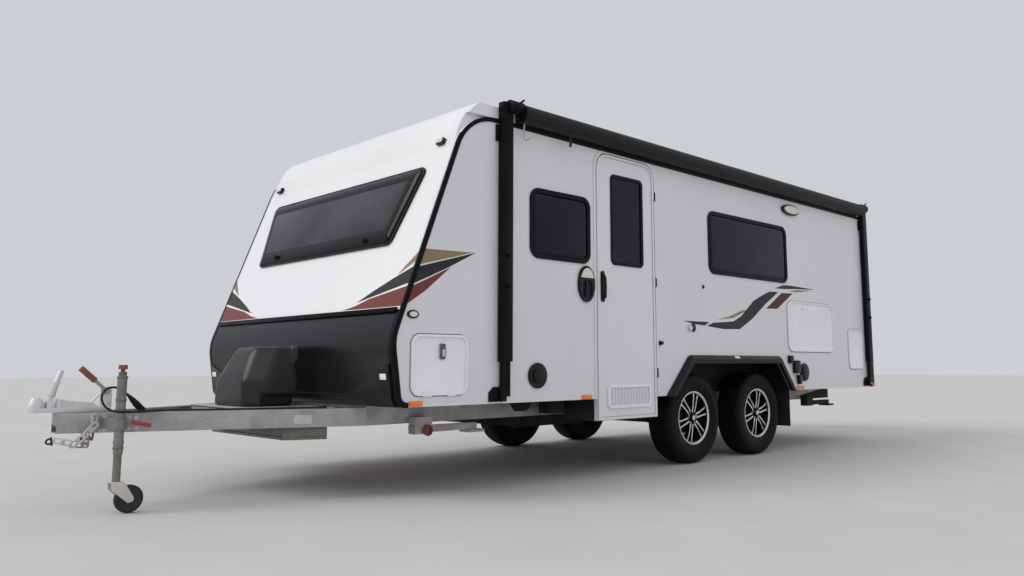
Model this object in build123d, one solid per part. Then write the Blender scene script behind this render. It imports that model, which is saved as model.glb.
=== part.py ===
from build123d import *
import math
import os

# Tandem-axle touring caravan, parked on its jockey wheel. Millimetres.
# X runs across the body with the entry door on +X, Z is up from the ground.
# Lengths along the body are stated from the foremost point of its front wall, back towards the rear.
# export() then moves everything so that Y = 0 is the middle of the overall length.

# Driving sizes
BODY_LENGTH = 6290
BODY_HALF = 1230
BODY_RISE = 1853
TYRE_R = 365
SILL_RISE = 192
COUPLING_REACH = 1500
REAR_PROUD = 40
WALL = 35

# Levels and centre that follow from them
NOSE_Y = -(BODY_LENGTH + REAR_PROUD - COUPLING_REACH) / 2
WHEEL_Z = TYRE_R
SILL_Z = WHEEL_Z + SILL_RISE
EAVES_Z = SILL_Z + BODY_RISE
ROOF_EDGE_Z = EAVES_Z + 82
ROOF_TOP_Z = ROOF_EDGE_Z + 63
INNER_HALF = BODY_HALF - WALL

# Front wall: one straight leaning line above a rounded nose
NOSE_Z = SILL_Z + 393
FRONT_LEAN = 0.369
FRONT_FOOT_Y = 56
TRIM_LINE_Z = SILL_Z + 564
FRONT_PANEL_TOP_Z = EAVES_Z - 225
REAR_PANEL_TOP_Z = EAVES_Z - 150

# Corner radii of the side outline, from the front foot round to the rear foot
FOOT_BEND = 70
NOSE_BEND = 300
FRONT_EAVES_BEND = 340
REAR_EAVES_BEND = 150
REAR_FOOT_BEND = 40
ROOF_FRONT_BEND = 380
ROOF_REAR_BEND = 190
ROOF_RETURN = 300
ROOF_SKIN = 40
ROOF_SIDE = BODY_HALF - 2
FLOOR_THICK = WALL
TRIM_WIDTH = 28
TRIM_PROUD = 8
TRIM_LIP = 3
TRIM_LIP_WIDE = 8
TRIM_LIP_TOP_Z = EAVES_Z - 130
LAP = 10
PLAY = 6
SHEET = 4

# Black front shield: its raised skirt, as half widths and heights, and the depth of its relief
SKIRT_TOP_Z = SILL_Z + 98
SKIRT_SHOULDER_Z = SILL_Z + 290
SKIRT_FLAT_HALF = 717
SKIRT_RELIEF = 16
SKIRT_SLOPE = 50
SHIELD_DEEP = 160

# Side openings: name, front, rear, bottom, top, corner radius
SIDE_WINDOWS = (
    ("bedroom", 1093, 1694, EAVES_Z - 895, EAVES_Z - 410, 80),
    ("kitchen", 3190, 4500, EAVES_Z - 845, EAVES_Z - 300, 80),
)
WINDOW_BORDER = 28
PANE = 6
PANE_SET = 8

# Front window, a trapezium on the leaning wall: half widths and heights of its foot and top
FRONT_WINDOW_FOOT = (BODY_HALF - 348, EAVES_Z - 861)
FRONT_WINDOW_TOP = (BODY_HALF - 219, EAVES_Z - 354)
WINDOW_KNOB_X = 420
WINDOW_KNOB_R = 16

DOOR_FRONT = 1766
DOOR_REAR = 2446
DOOR_FOOT_Z = SILL_Z - 154
DOOR_TOP_Z = EAVES_Z - 44
DOOR_CORNER = 120
DOOR_WINDOW = ("door", DOOR_FRONT + 159, DOOR_REAR - 141, EAVES_Z - 875, EAVES_Z - 185, 45)
DOOR_FRAME = 24
DOOR_FRAME_PROUD = 5
DOOR_RIM = 22
DOOR_RIM_PROUD = 6
DOOR_HINGE_OUT = 8
DOOR_HINGES_Z = (SILL_Z + 180, SILL_Z + 880, EAVES_Z - 290)
STEP_WELL_X = BODY_HALF - 330
STEP_FLOOR_Z = DOOR_FOOT_Z - 3

# Vent grille in the foot of the door: its outline, frame and bars
GRILLE_FRONT = DOOR_FRONT + 104
GRILLE_REAR = DOOR_REAR - 76
GRILLE_FOOT_Z = DOOR_FOOT_Z + 82
GRILLE_TOP_Z = DOOR_FOOT_Z + 252
GRILLE_FRAME = 22
GRILLE_PROUD = 10
GRILLE_BARS = 12
GRILLE_BAR_WIDE = 9
GRILLE_RAILS = 3

# Pull handle of the door
PULL_Y = DOOR_FRONT + 62
PULL_FOOT_Z = SILL_Z + 695
PULL_TOP_Z = PULL_FOOT_Z + 229

# Locker lids: front, rear, bottom, top, corner radius
FRONT_LOCKER = (140, 562, SILL_Z + 63, SILL_Z + 423, 60)
HEATER_LOCKER = (4476, 5391, SILL_Z + 362, SILL_Z + 844, 80)
REAR_LOCKER = (BODY_LENGTH - 567, BODY_LENGTH - 250, SILL_Z + 192, SILL_Z + 610, 50)
LID_RIM = 14
LID_PROUD = 12
LID_HINGE_OUT = 6
LID_HINGE_DROP = 2
LID_HINGE_INSET = 120
LOCK_WIDE = 50
LOCK_HIGH = 92
HINGE_R = 7
HINGE_LONG = 62
HINGE_LEAF = 24

# Wheels
AXLE_FRONT = 3025
AXLE_REAR = AXLE_FRONT + 978
AXLE_STATIONS = (("front", AXLE_FRONT), ("rear", AXLE_REAR))
WHEEL_X = BODY_HALF - 167
TYRE_HALF = 117
TREAD_HALF = 96
WHEEL_SIDES = 48
ROUND_SIDES = 12
SIDEWALL_R = TYRE_R - 80
SHOULDER = 14
RIM_R = TYRE_R - 160
RIM_HALF = 92
RIM_LIP = 8
RIM_SKIN = 9
SPOKE_FACE = 78
SPOKE_BACK = 50
SPOKE_PAIRS = 6
SPOKE_SPLIT = 21
SPOKE_WIDTH = 12
SPOKE_ROOT_R = 78
HUB_R = 66
CAP_R = 30
CAP_PROUD = 22
DRUM_R = RIM_R - 80
STUB_R = 24
STUB_PLAY = 0.05

# Wheel arch opening, a trapezium open at the sill, and its flared surround
ARCH_FOOT_FRONT = AXLE_FRONT - 363
ARCH_TOP_FRONT = AXLE_FRONT - 123
ARCH_TOP_REAR = AXLE_REAR + 267
ARCH_FOOT_REAR = AXLE_REAR + 475
ARCH_TOP_Z = WHEEL_Z + TYRE_R + 76
FLARE_WIDTH = 70
FLARE_OUT = 40
FLARE_BEVEL = 26
FLARE_BEND = 70
WHEEL_BOX_TOP_Z = ARCH_TOP_Z + 40
WHEEL_BOX_X = BODY_HALF - 330
WHEEL_BOX_PLY = 18
FLAP_HALF = 120
FLAP_DROP = 334
FLAP_THICK = 8
FLAP_BEHIND = 40

# Chassis
RAIL_OUT = BODY_HALF - 470
RAIL_WIDE = 60
RAIL_TOP_Z = SILL_Z
RAIL_FOOT_Z = RAIL_TOP_Z - 127
RAIL_WALL = 6
RAIL_START = 150
RAIL_END = BODY_LENGTH - 140
CROSS_STATIONS = (520, 1560, 2560, 4560, 5400, BODY_LENGTH - 200)
CROSS_WIDE = 60

# Drawbar
DRAW_TIP_Y = -COUPLING_REACH + 138
DRAW_TIP_HALF = 50
DRAW_WIDE = 55
DRAW_TOP_Z = SILL_Z - 19
DRAW_FOOT_Z = RAIL_FOOT_Z
DRAW_SLOPE = (RAIL_OUT - DRAW_TIP_HALF) / (RAIL_START - DRAW_TIP_Y)
DRAW_SKEW = math.hypot(1, DRAW_SLOPE)
DRAW_CROSS_Y = -420
TIP_TOP_Z = DRAW_TOP_Z + 7
TIP_BOX = 280
TIP_CHIN = 48

AXLE_LEAD = 170
AXLE_TUBE_R = 50
AXLE_Z = WHEEL_Z + 7
ARM_X = RAIL_OUT + 40
ARM_THICK = 40
ARM_BIG_R = 52
ARM_SMALL_R = 36
BACKPLATE_X = WHEEL_X - 128

# Coupling
BALL_R = 25.3
BALL_DEPTH = 60
CUP_R = 42
CUP_TOP_R = 24
CUP_HIGH = 80
CUP_Y = -COUPLING_REACH + CUP_R
CHANNEL_TOP_Z = TIP_TOP_Z + 24
CHANNEL_HALF = 44
CHANNEL_LONG = 370
HANDLE_Y = DRAW_TIP_Y - 34
HANDLE_Z = TIP_TOP_Z + 61
HANDLE_REACH = 175
HANDLE_LEAN = 17
HANDLE_COLLAR = 28
HANDLE_R = 15
HANDLE_FLARE = 7

# Handbrake
BRAKE_X = -58
BRAKE_Y = DRAW_TIP_Y + 277
BRAKE_Z = TIP_TOP_Z + 110
BRAKE_REACH = 196
BRAKE_RISE = 42

# Jockey wheel on the door side of the drawbar
JOCKEY_Y = DRAW_TIP_Y + 250
JOCKEY_X = DRAW_TIP_HALF + 250 * DRAW_SLOPE + 108
JOCKEY_WHEEL_R = 75
JOCKEY_WHEEL_HALF = 22
JOCKEY_TRAIL = 70
JOCKEY_PIN_R = 8
JOCKEY_TUBE_R = 25
JOCKEY_TUBE_FOOT_Z = DRAW_TOP_Z - 218
JOCKEY_TUBE_TOP_Z = DRAW_TOP_Z + 205
JOCKEY_LEG_R = 21
JOCKEY_LEG_FOOT_Z = JOCKEY_WHEEL_R + 85
JOCKEY_LEG_TOP_Z = DRAW_TOP_Z + 2
JOCKEY_KNOB_TOP_Z = JOCKEY_TUBE_TOP_Z + 61
CLAMP_FOOT_Z = DRAW_FOOT_Z + 22
CLAMP_HIGH = 60

# Corner steadies: pivot stations and place across
STEADY_STATIONS = (("front", 560), ("rear", BODY_LENGTH - 670))
STEADY_Z = RAIL_FOOT_Z - 38
STEADY_REACH = 430
STEADY_HALF = 22
STEADY_X = RAIL_OUT + STEADY_HALF + PLAY + LAP
STEADY_PIN_R = 8

# Roof hatches: station and half length
HATCHES = ((1600, 260), (3900, 340))
HATCH_HALF = 260
HATCH_PROUD = 44

# Awning
AWNING_X = BODY_HALF + 60
AWNING_Z = ROOF_EDGE_Z + 4
AWNING_R = 62
AWNING_BOSS = 64
AWNING_BOSS_R = 44
ARM_STATIONS = (("front", 850), ("rear", BODY_LENGTH - 140))
ARM_WIDTH = 92
ARM_DEEP = 42
ARM_TOP_Z = AWNING_Z + 36
ARM_FOOT_Z = SILL_Z + 43
ARM_STEP_Z = SILL_Z + 263
ARM_HOLES = 5

# Fittings on the door side, as (station, height) of their middles
GRAB_LAMP = (DOOR_FRONT - 118, SILL_Z + 815)
GRAB_HALF = (87, 131)
GRAB_PROUD = 16
ENTRY_LAMP = (HEATER_LOCKER[0] + 116, EAVES_Z - 120)
ENTRY_HALF = (157, 53)
ENTRY_PROUD = 22
SIDE_LAMP = (FRONT_LOCKER[0] + 8, SILL_Z + 538)
SIDE_LAMP_HALF = (42, 25)
SERVICE_Y = ARCH_FOOT_REAR + 61
SERVICE_Z = SILL_Z + 157

# Front marker lamps, their black bodies on the leaning wall
MARKER_X = BODY_HALF - 158
MARKER_Z = EAVES_Z - 192
MARKER_BODY = 24
REAR_LAMP_X = BODY_HALF - 150
REAR_LAMP_Z = SILL_Z + 263
REAR_LAMP_HIGH = 360
REAR_LAMP_HALF = 70
REAR_LENS_R = 48

# Gas bottle cover: the height of its fold and top above the tray, and its three plans
COVER_FOLD = 160
COVER_HIGH = 374
COVER_REAR = -75
COVER_CORNER = 112
COVER_PLANS = (
    # height above the tray, front half width, front station, rear half width
    (0, 202, -388, 345),
    (COVER_FOLD, 190, -384, 332),
    (COVER_HIGH, 125, -276, 255),
)

# Water tank and the drain parts beside it
TANK = (1700, 2400)
TANK_DEEP = 100
DRAIN_X = BODY_HALF - 330
DRAIN_Y = 1320
DRAIN_R = 80

# Safety chains: pitch of a link, its wire, and each chain's route as (across, along, up) points
CHAIN_PITCH = 44
CHAIN_WIRE = 9
CHAIN_HALF = 17
CHAIN_PIN_R = 6
CHAIN_PIN_Y = JOCKEY_Y - 92
CHAIN_PIN_Z = DRAW_TOP_Z - 14
CHAIN_PIN_OUT = 24
CHAIN_X = DRAW_TIP_HALF + (CHAIN_PIN_Y + CHAIN_HALF - DRAW_TIP_Y) * DRAW_SLOPE + CHAIN_HALF + 5

# Electrical lead: section, height over the rails, radius and centre of its turn round the jockey tube
LEAD_R = 6
LEAD_CLIP_HALF = 12
LEAD_Z = DRAW_TOP_Z + LEAD_R + 1
LEAD_CLIP_Y = -60
LEAD_PLUG_R = 20
LEAD_PLUG_LONG = 78


def front_line(z):
    """Station of the front wall's outer face at height z above the nose."""
    return (z - NOSE_Z) * FRONT_LEAN


def rail_face(y):
    """Place across of the drawbar rail's outer face at a station."""
    return DRAW_TIP_HALF + (y - DRAW_TIP_Y) * DRAW_SLOPE


def side_plane(x):
    """Plane facing +X whose sketch axes are Y (back) and Z (up)."""
    return Plane(origin=(x, 0, 0), x_dir=(0, 1, 0), z_dir=(1, 0, 0))


def front_plane(z, out=0):
    """Plane lying on the leaning front wall at height z, its sketch axes across and up the slope."""
    slope = math.hypot(1, FRONT_LEAN)
    normal = Vector(0, -1 / slope, FRONT_LEAN / slope)
    origin = Vector(0, front_line(z), z) + normal * out
    return Plane(origin=origin, x_dir=(1, 0, 0), z_dir=normal)


def outline(*corners):
    """Closed face through (u, v) corners."""
    return make_face(Polyline(*corners, close=True))


def rounded(corners):
    """Closed face through (u, v, radius) corners, each rounded by its own radius."""
    face = outline(*[(u, v) for u, v, _ in corners])
    for u, v, radius in corners:
        if radius:
            corner = face.vertices().sort_by_distance((u, v, 0))[0]
            face = fillet(corner, radius)
    return face


def across(face, x0, x1):
    """Solid from x0 to x1 with a (back, up) face as its section."""
    return extrude(side_plane(x0) * face, amount=x1 - x0)


def block(x0, x1, y0, y1, z0, z1):
    """Box between two corners."""
    return Pos((x0 + x1) / 2, (y0 + y1) / 2, (z0 + z1) / 2) * Box(x1 - x0, y1 - y0, z1 - z0)


def panel(front, rear, foot, top, radius, grow=0):
    """Rounded rectangle in (back, up), grown by a margin on every side."""
    wide = rear - front + 2 * grow
    high = top - foot + 2 * grow
    return Pos((front + rear) / 2, (foot + top) / 2) * RectangleRounded(wide, high, radius + grow)


def rod(start, end, radius):
    """Round bar between two points."""
    start = Vector(*start)
    run = Vector(*end) - start
    return extrude(Plane(origin=start, z_dir=run) * Circle(radius), amount=run.length)


def disc_x(x0, x1, y, z, radius):
    """Round plate lying across X."""
    return rod((x0, y, z), (x1, y, z), radius)


def post(x, y, z0, z1, radius):
    """Upright round bar."""
    return rod((x, y, z0), (x, y, z1), radius)


def other_side(shape):
    """The same shape on the other side of the centre plane."""
    return mirror(shape, about=Plane.YZ)


def both_sides(shape):
    """A shape and its mirror image, as separate solids."""
    return Compound(children=shape.solids() + other_side(shape).solids())


def collect(shapes):
    """Several separate pieces as one node."""
    solids = []
    for shape in shapes:
        solids.extend(shape.solids())
    return Compound(children=solids)


# Body shell

def body_outline():
    return rounded((
        (FRONT_FOOT_Y, SILL_Z, FOOT_BEND),
        (front_line(NOSE_Z), NOSE_Z, NOSE_BEND),
        (front_line(EAVES_Z), EAVES_Z, FRONT_EAVES_BEND),
        (BODY_LENGTH, EAVES_Z, REAR_EAVES_BEND),
        (BODY_LENGTH, SILL_Z, REAR_FOOT_BEND),
    ))


def inner_outline():
    return offset(body_outline(), -WALL)


def shell_band():
    return body_outline() - inner_outline()


def arch_opening(grow=0, bend=0):
    """Wheel arch hole, open at the sill; grow widens it and bend rounds its two top corners."""
    drop = SILL_Z - 2 * LAP
    high = ARCH_TOP_Z - SILL_Z
    front_lean = (ARCH_TOP_FRONT - ARCH_FOOT_FRONT) / high
    rear_lean = (ARCH_FOOT_REAR - ARCH_TOP_REAR) / high
    front_grow = grow * math.hypot(1, front_lean)
    rear_grow = grow * math.hypot(1, rear_lean)
    return rounded((
        (ARCH_FOOT_FRONT - front_lean * 2 * LAP - front_grow, drop, 0),
        (ARCH_TOP_FRONT + front_lean * grow - front_grow, ARCH_TOP_Z + grow, bend),
        (ARCH_TOP_REAR - rear_lean * grow + rear_grow, ARCH_TOP_Z + grow, bend),
        (ARCH_FOOT_REAR + rear_lean * 2 * LAP + rear_grow, drop, 0),
    ))


def door_outline(grow=0):
    return rounded((
        (DOOR_FRONT - grow, DOOR_FOOT_Z - grow, 0),
        (DOOR_FRONT - grow, DOOR_TOP_Z + grow, DOOR_CORNER + grow),
        (DOOR_REAR + grow, DOOR_TOP_Z + grow, DOOR_CORNER + grow),
        (DOOR_REAR + grow, DOOR_FOOT_Z - grow, 0),
    ))


def side_wall(openings):
    wall = across(body_outline(), INNER_HALF, BODY_HALF)
    cutters = [arch_opening()]
    for _, front, rear, foot, top, radius in SIDE_WINDOWS:
        cutters.append(panel(front, rear, foot, top, radius))
    cutters.extend(openings)
    for cutter in cutters:
        wall -= across(cutter, INNER_HALF - LAP, BODY_HALF + LAP)
    return wall


def lid_hole(sizes):
    return panel(*sizes, grow=PLAY)


def lid_hinge_stations(sizes):
    return (sizes[0] + LID_HINGE_INSET, sizes[1] - LID_HINGE_INSET)


def lid_hinge_leaves():
    """Wall halves of the front locker lid's two hinges, just below their barrels."""
    top = FRONT_LOCKER[2] - LID_HINGE_DROP - HINGE_R - 1
    half = HINGE_LONG / 2
    return [
        block(BODY_HALF, BODY_HALF + SHEET, y - half, y + half, top - HINGE_LEAF, top)
        for y in lid_hinge_stations(FRONT_LOCKER)
    ]


def build_body_left():
    """Door side wall with the raised frame round the doorway and the fixed hinge leaves."""
    wall = side_wall([
        door_outline(PLAY),
        lid_hole(FRONT_LOCKER),
        lid_hole(HEATER_LOCKER),
        lid_hole(REAR_LOCKER),
    ])
    below_trim = Pos(DOOR_FRONT, SILL_Z) * Rectangle(
        BODY_LENGTH, BODY_RISE - TRIM_WIDTH - 1, align=(Align.CENTER, Align.MIN))
    frame = (door_outline(PLAY + DOOR_FRAME) - door_outline(PLAY)) & below_trim
    wall += across(frame, BODY_HALF, BODY_HALF + DOOR_FRAME_PROUD)
    leaf_start = DOOR_REAR + PLAY + HINGE_R + 1
    half = HINGE_LONG / 2
    for z in DOOR_HINGES_Z:
        wall -= block(BODY_HALF, BODY_HALF + 2 * LAP, DOOR_REAR, leaf_start, z - half - 3, z + half + 3)
    leaves = [
        block(BODY_HALF, BODY_HALF + DOOR_HINGE_OUT, leaf_start, leaf_start + HINGE_LEAF, z - half, z + half)
        for z in DOOR_HINGES_Z
    ]
    for leaf in leaves + lid_hinge_leaves():
        wall += leaf
    return wall


def build_body_right():
    wall = side_wall([lid_hole(FRONT_LOCKER)])
    for leaf in lid_hinge_leaves():
        wall += leaf
    return other_side(wall)


def slope_face(grow=0):
    """Trapezium of the front window on the leaning wall, in (across, up the slope) from the trim line."""
    stretch = math.hypot(1, FRONT_LEAN)
    low_half, low_z = FRONT_WINDOW_FOOT
    high_half, high_z = FRONT_WINDOW_TOP
    foot = (low_z - TRIM_LINE_Z) * stretch - grow
    top = (high_z - TRIM_LINE_Z) * stretch + grow
    return rounded((
        (-low_half - grow, foot, 70 + grow),
        (low_half + grow, foot, 70 + grow),
        (high_half + grow, top, 40 + grow),
        (-high_half - grow, top, 40 + grow),
    ))


def build_body_front():
    """Leaning front wall between the black trim bar and the roof moulding."""
    reach = front_line(EAVES_Z) + WALL
    keep = block(-INNER_HALF, INNER_HALF, -LAP, reach, TRIM_LINE_Z + TRIM_WIDTH / 2, FRONT_PANEL_TOP_Z)
    wall = across(shell_band(), -INNER_HALF, INNER_HALF) & keep
    return wall - extrude(front_plane(TRIM_LINE_Z, LAP) * slope_face(), amount=-2 * WALL)


def skirt_section(y, drop):
    """Outline of the raised skirt at a station, its upper edge lowered by drop."""
    back = Plane(origin=(0, y, 0), x_dir=(1, 0, 0), z_dir=(0, -1, 0))
    return back * outline(
        (-INNER_HALF, SILL_Z),
        (INNER_HALF, SILL_Z),
        (INNER_HALF, SKIRT_SHOULDER_Z - drop),
        (SKIRT_FLAT_HALF + drop / 3, SKIRT_TOP_Z - drop),
        (-SKIRT_FLAT_HALF - drop / 3, SKIRT_TOP_Z - drop),
        (-INNER_HALF, SKIRT_SHOULDER_Z - drop),
    )


def build_front_shield():
    """Black moulding below the trim bar, with a raised skirt that climbs to both sides."""
    keep = block(-INNER_HALF, INNER_HALF, -2 * LAP, SHIELD_DEEP, SILL_Z, TRIM_LINE_Z - TRIM_WIDTH / 2)
    shield = across(shell_band(), -INNER_HALF, INNER_HALF) & keep
    relief = loft([skirt_section(SHIELD_DEEP, 0), skirt_section(-3 * LAP, SKIRT_SLOPE)], ruled=True)
    proud = across(offset(body_outline(), SKIRT_RELIEF) - body_outline(), -INNER_HALF, INNER_HALF)
    return shield + (proud & relief & keep)


def build_body_rear():
    keep = block(
        -INNER_HALF, INNER_HALF, BODY_LENGTH - ROOF_RETURN, BODY_LENGTH,
        SILL_Z + FLOOR_THICK, REAR_PANEL_TOP_Z)
    wall = across(shell_band(), -INNER_HALF, INNER_HALF) & keep
    plinth_z = SILL_Z + 190
    return wall + block(-290, 290, BODY_LENGTH, BODY_LENGTH + LAP, plinth_z, plinth_z + 130)


def build_roof():
    """Crowned roof moulding that turns down over the front and rear walls."""
    front_top = front_line(ROOF_TOP_Z)
    silhouette = rounded((
        (front_line(FRONT_PANEL_TOP_Z), FRONT_PANEL_TOP_Z, 0),
        (front_top, ROOF_TOP_Z, ROOF_FRONT_BEND),
        (BODY_LENGTH, ROOF_TOP_Z, ROOF_REAR_BEND),
        (BODY_LENGTH, REAR_PANEL_TOP_Z, 0),
        (BODY_LENGTH - ROOF_RETURN, REAR_PANEL_TOP_Z, 0),
        (front_top + ROOF_RETURN, FRONT_PANEL_TOP_Z, 0),
    )) - inner_outline()
    long = across(silhouette, -ROOF_SIDE, ROOF_SIDE)
    low = FRONT_PANEL_TOP_Z - LAP
    crown = make_face(
        Polyline(
            (-ROOF_SIDE, ROOF_EDGE_Z),
            (-ROOF_SIDE, EAVES_Z),
            (-INNER_HALF, EAVES_Z),
            (-INNER_HALF, low),
            (INNER_HALF, low),
            (INNER_HALF, EAVES_Z),
            (ROOF_SIDE, EAVES_Z),
            (ROOF_SIDE, ROOF_EDGE_Z),
        )
        + ThreePointArc((ROOF_SIDE, ROOF_EDGE_Z), (0, ROOF_TOP_Z), (-ROOF_SIDE, ROOF_EDGE_Z))
    )
    section = Plane(origin=(0, -LAP, 0), x_dir=(1, 0, 0), z_dir=(0, -1, 0)) * crown
    slab = long & extrude(section, amount=-(BODY_LENGTH + 2 * LAP))
    inner_top = EAVES_Z - WALL
    pocket_half = INNER_HALF - 60
    side_z = ROOF_EDGE_Z - ROOF_SKIN
    ceiling = make_face(
        Polyline(
            (-pocket_half, side_z),
            (-pocket_half, inner_top - LAP),
            (pocket_half, inner_top - LAP),
            (pocket_half, side_z),
        )
        + ThreePointArc((pocket_half, side_z), (0, ROOF_TOP_Z - ROOF_SKIN), (-pocket_half, side_z))
    )
    pocket_front = front_top + ROOF_RETURN
    pocket = Plane(origin=(0, pocket_front, 0), x_dir=(1, 0, 0), z_dir=(0, -1, 0)) * ceiling
    slab -= extrude(pocket, amount=pocket_front + ROOF_RETURN - BODY_LENGTH)
    for station, half in HATCHES:
        slab -= hatch_block(station, half, inner_top - LAP, ROOF_TOP_Z + HATCH_PROUD)
    return slab


def wheel_box_block(grow):
    """Space of the plywood box over the left wheels, its walls moved out by grow."""
    front = ARCH_FOOT_FRONT - 60 - grow
    rear = ARCH_FOOT_REAR + 40 + grow
    return block(WHEEL_BOX_X - grow, INNER_HALF - grow, front, rear, SILL_Z + grow, WHEEL_BOX_TOP_Z + grow)


def build_floor():
    """Floor board, cut out for the entry step and for the boxes over the wheels."""
    board = block(-INNER_HALF, INNER_HALF, SHIELD_DEEP, BODY_LENGTH - WALL, SILL_Z, SILL_Z + FLOOR_THICK)
    board = board - wheel_box_block(0) - other_side(wheel_box_block(0))
    return board - block(STEP_WELL_X, BODY_HALF, DOOR_FRONT - PLAY, DOOR_REAR + PLAY, 0, ROOF_TOP_Z)


def build_wheel_boxes():
    """Plywood boxes over the wheels, open below and towards the side walls."""
    return both_sides(wheel_box_block(0) - wheel_box_block(-WHEEL_BOX_PLY))


def build_step_well():
    """Sheet tray below the floor behind the foot of the door."""
    front = DOOR_FRONT - PLAY
    rear = DOOR_REAR + PLAY
    outer = block(STEP_WELL_X, INNER_HALF - PLAY, front, rear, STEP_FLOOR_Z, SILL_Z + FLOOR_THICK)
    hollow = block(
        STEP_WELL_X + SHEET, BODY_HALF, front + SHEET, rear - SHEET, STEP_FLOOR_Z + SHEET, ROOF_TOP_Z)
    return outer - hollow


def build_edge_trim():
    """Black edging round both side walls, with the bar across the front between them."""
    ring = body_outline() - offset(body_outline(), -TRIM_WIDTH)
    strip = across(ring, BODY_HALF, BODY_HALF + TRIM_PROUD)
    strip -= block(
        BODY_HALF - LAP, BODY_HALF + 2 * LAP, FRONT_FOOT_Y + FOOT_BEND, BODY_LENGTH - 100,
        0, SILL_Z + TRIM_WIDTH + LAP)
    lip_ring = offset(body_outline(), TRIM_LIP) - body_outline()
    lips = (
        # inner edge across, rearmost station, foot, top
        (BODY_HALF - TRIM_LIP_WIDE, front_line(TRIM_LIP_TOP_Z), TRIM_LINE_Z, TRIM_LIP_TOP_Z),
        (INNER_HALF, FRONT_FOOT_Y + FOOT_BEND, SILL_Z - LAP, TRIM_LINE_Z),
    )
    for inner, rear, foot, top in lips:
        strip += across(lip_ring, inner, BODY_HALF + TRIM_PROUD) & block(
            0, 2 * BODY_HALF, -BODY_LENGTH, rear, foot, top)
    bar_line = front_line(TRIM_LINE_Z)
    bar = block(
        -INNER_HALF, INNER_HALF, bar_line - 2 * TRIM_PROUD, bar_line + WALL / 2,
        TRIM_LINE_Z - TRIM_WIDTH / 2, TRIM_LINE_Z + TRIM_WIDTH / 2,
    )
    return collect([strip, other_side(strip), bar])


# Windows

def window_frame(sizes):
    _, front, rear, foot, top, radius = sizes
    outer = panel(front, rear, foot, top, radius)
    inner = panel(front, rear, foot, top, radius, grow=-WINDOW_BORDER)
    return across(outer - inner, INNER_HALF, BODY_HALF + PANE_SET)


def window_pane(sizes):
    _, front, rear, foot, top, radius = sizes
    face = panel(front, rear, foot, top, radius, grow=-WINDOW_BORDER)
    return across(face, BODY_HALF - PANE, BODY_HALF)


def front_window_frame():
    """Front window's frame with its two latch knobs, which stand on the pane."""
    ring = slope_face() - slope_face(-WINDOW_BORDER)
    plane = front_plane(TRIM_LINE_Z, PANE_SET)
    frame = extrude(plane * ring, amount=-WALL)
    stretch = math.hypot(1, FRONT_LEAN)
    knob_up = (FRONT_WINDOW_FOOT[1] - TRIM_LINE_Z) * stretch + WINDOW_BORDER + WINDOW_KNOB_R
    for x in (-WINDOW_KNOB_X, WINDOW_KNOB_X):
        frame += extrude(plane * Pos(x, knob_up) * Circle(WINDOW_KNOB_R), amount=-PANE_SET)
    return frame


def front_window_pane():
    return extrude(front_plane(TRIM_LINE_Z) * slope_face(-WINDOW_BORDER), amount=-PANE)


def build_window_frames():
    frames = [front_window_frame()]
    for sizes in SIDE_WINDOWS:
        frames.append(window_frame(sizes))
        frames.append(other_side(window_frame(sizes)))
    return collect(frames)


def build_window_panes():
    panes = [front_window_pane()]
    for sizes in SIDE_WINDOWS:
        panes.append(window_pane(sizes))
        panes.append(other_side(window_pane(sizes)))
    return collect(panes)


# Entry door

def vent_grille():
    """Framed vent with upright bars over cross rails, standing on the door's face."""
    face = BODY_HALF
    outer = panel(GRILLE_FRONT, GRILLE_REAR, GRILLE_FOOT_Z, GRILLE_TOP_Z, 40)
    inner = panel(GRILLE_FRONT, GRILLE_REAR, GRILLE_FOOT_Z, GRILLE_TOP_Z, 40, grow=-GRILLE_FRAME)
    grille = across(outer - inner, face, face + GRILLE_PROUD)
    pitch = (GRILLE_REAR - GRILLE_FRONT - 2 * GRILLE_FRAME) / (GRILLE_BARS + 1)
    for index in range(GRILLE_BARS):
        y = GRILLE_FRONT + GRILLE_FRAME + (index + 1) * pitch
        half = GRILLE_BAR_WIDE / 2
        grille += block(
            face, face + GRILLE_PROUD - 3, y - half, y + half, GRILLE_FOOT_Z + 8, GRILLE_TOP_Z - 8)
    rise = (GRILLE_TOP_Z - GRILLE_FOOT_Z) / (GRILLE_RAILS + 1)
    for index in range(GRILLE_RAILS):
        z = GRILLE_FOOT_Z + (index + 1) * rise
        grille += block(face, face + GRILLE_PROUD - 5, GRILLE_FRONT + 8, GRILLE_REAR - 8, z - 4, z + 4)
    return grille


def build_entry_door():
    """Door leaf with its raised rim, vent grille and three hinge barrels on the rear edge."""
    door = across(door_outline(), INNER_HALF, BODY_HALF)
    _, front, rear, foot, top, radius = DOOR_WINDOW
    door -= across(panel(front, rear, foot, top, radius), INNER_HALF - LAP, BODY_HALF + LAP)
    door += across(door_outline() - offset(door_outline(), -DOOR_RIM), BODY_HALF, BODY_HALF + DOOR_RIM_PROUD)
    door += vent_grille()
    axis_x = BODY_HALF + DOOR_HINGE_OUT
    axis_y = DOOR_REAR + PLAY
    half = HINGE_LONG / 2
    for z in DOOR_HINGES_Z:
        door += post(axis_x, axis_y, z - half, z + half, HINGE_R)
        door += block(axis_x - 2, axis_x + 2, DOOR_REAR - HINGE_LEAF, axis_y, z - half, z + half)
    return door


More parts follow.
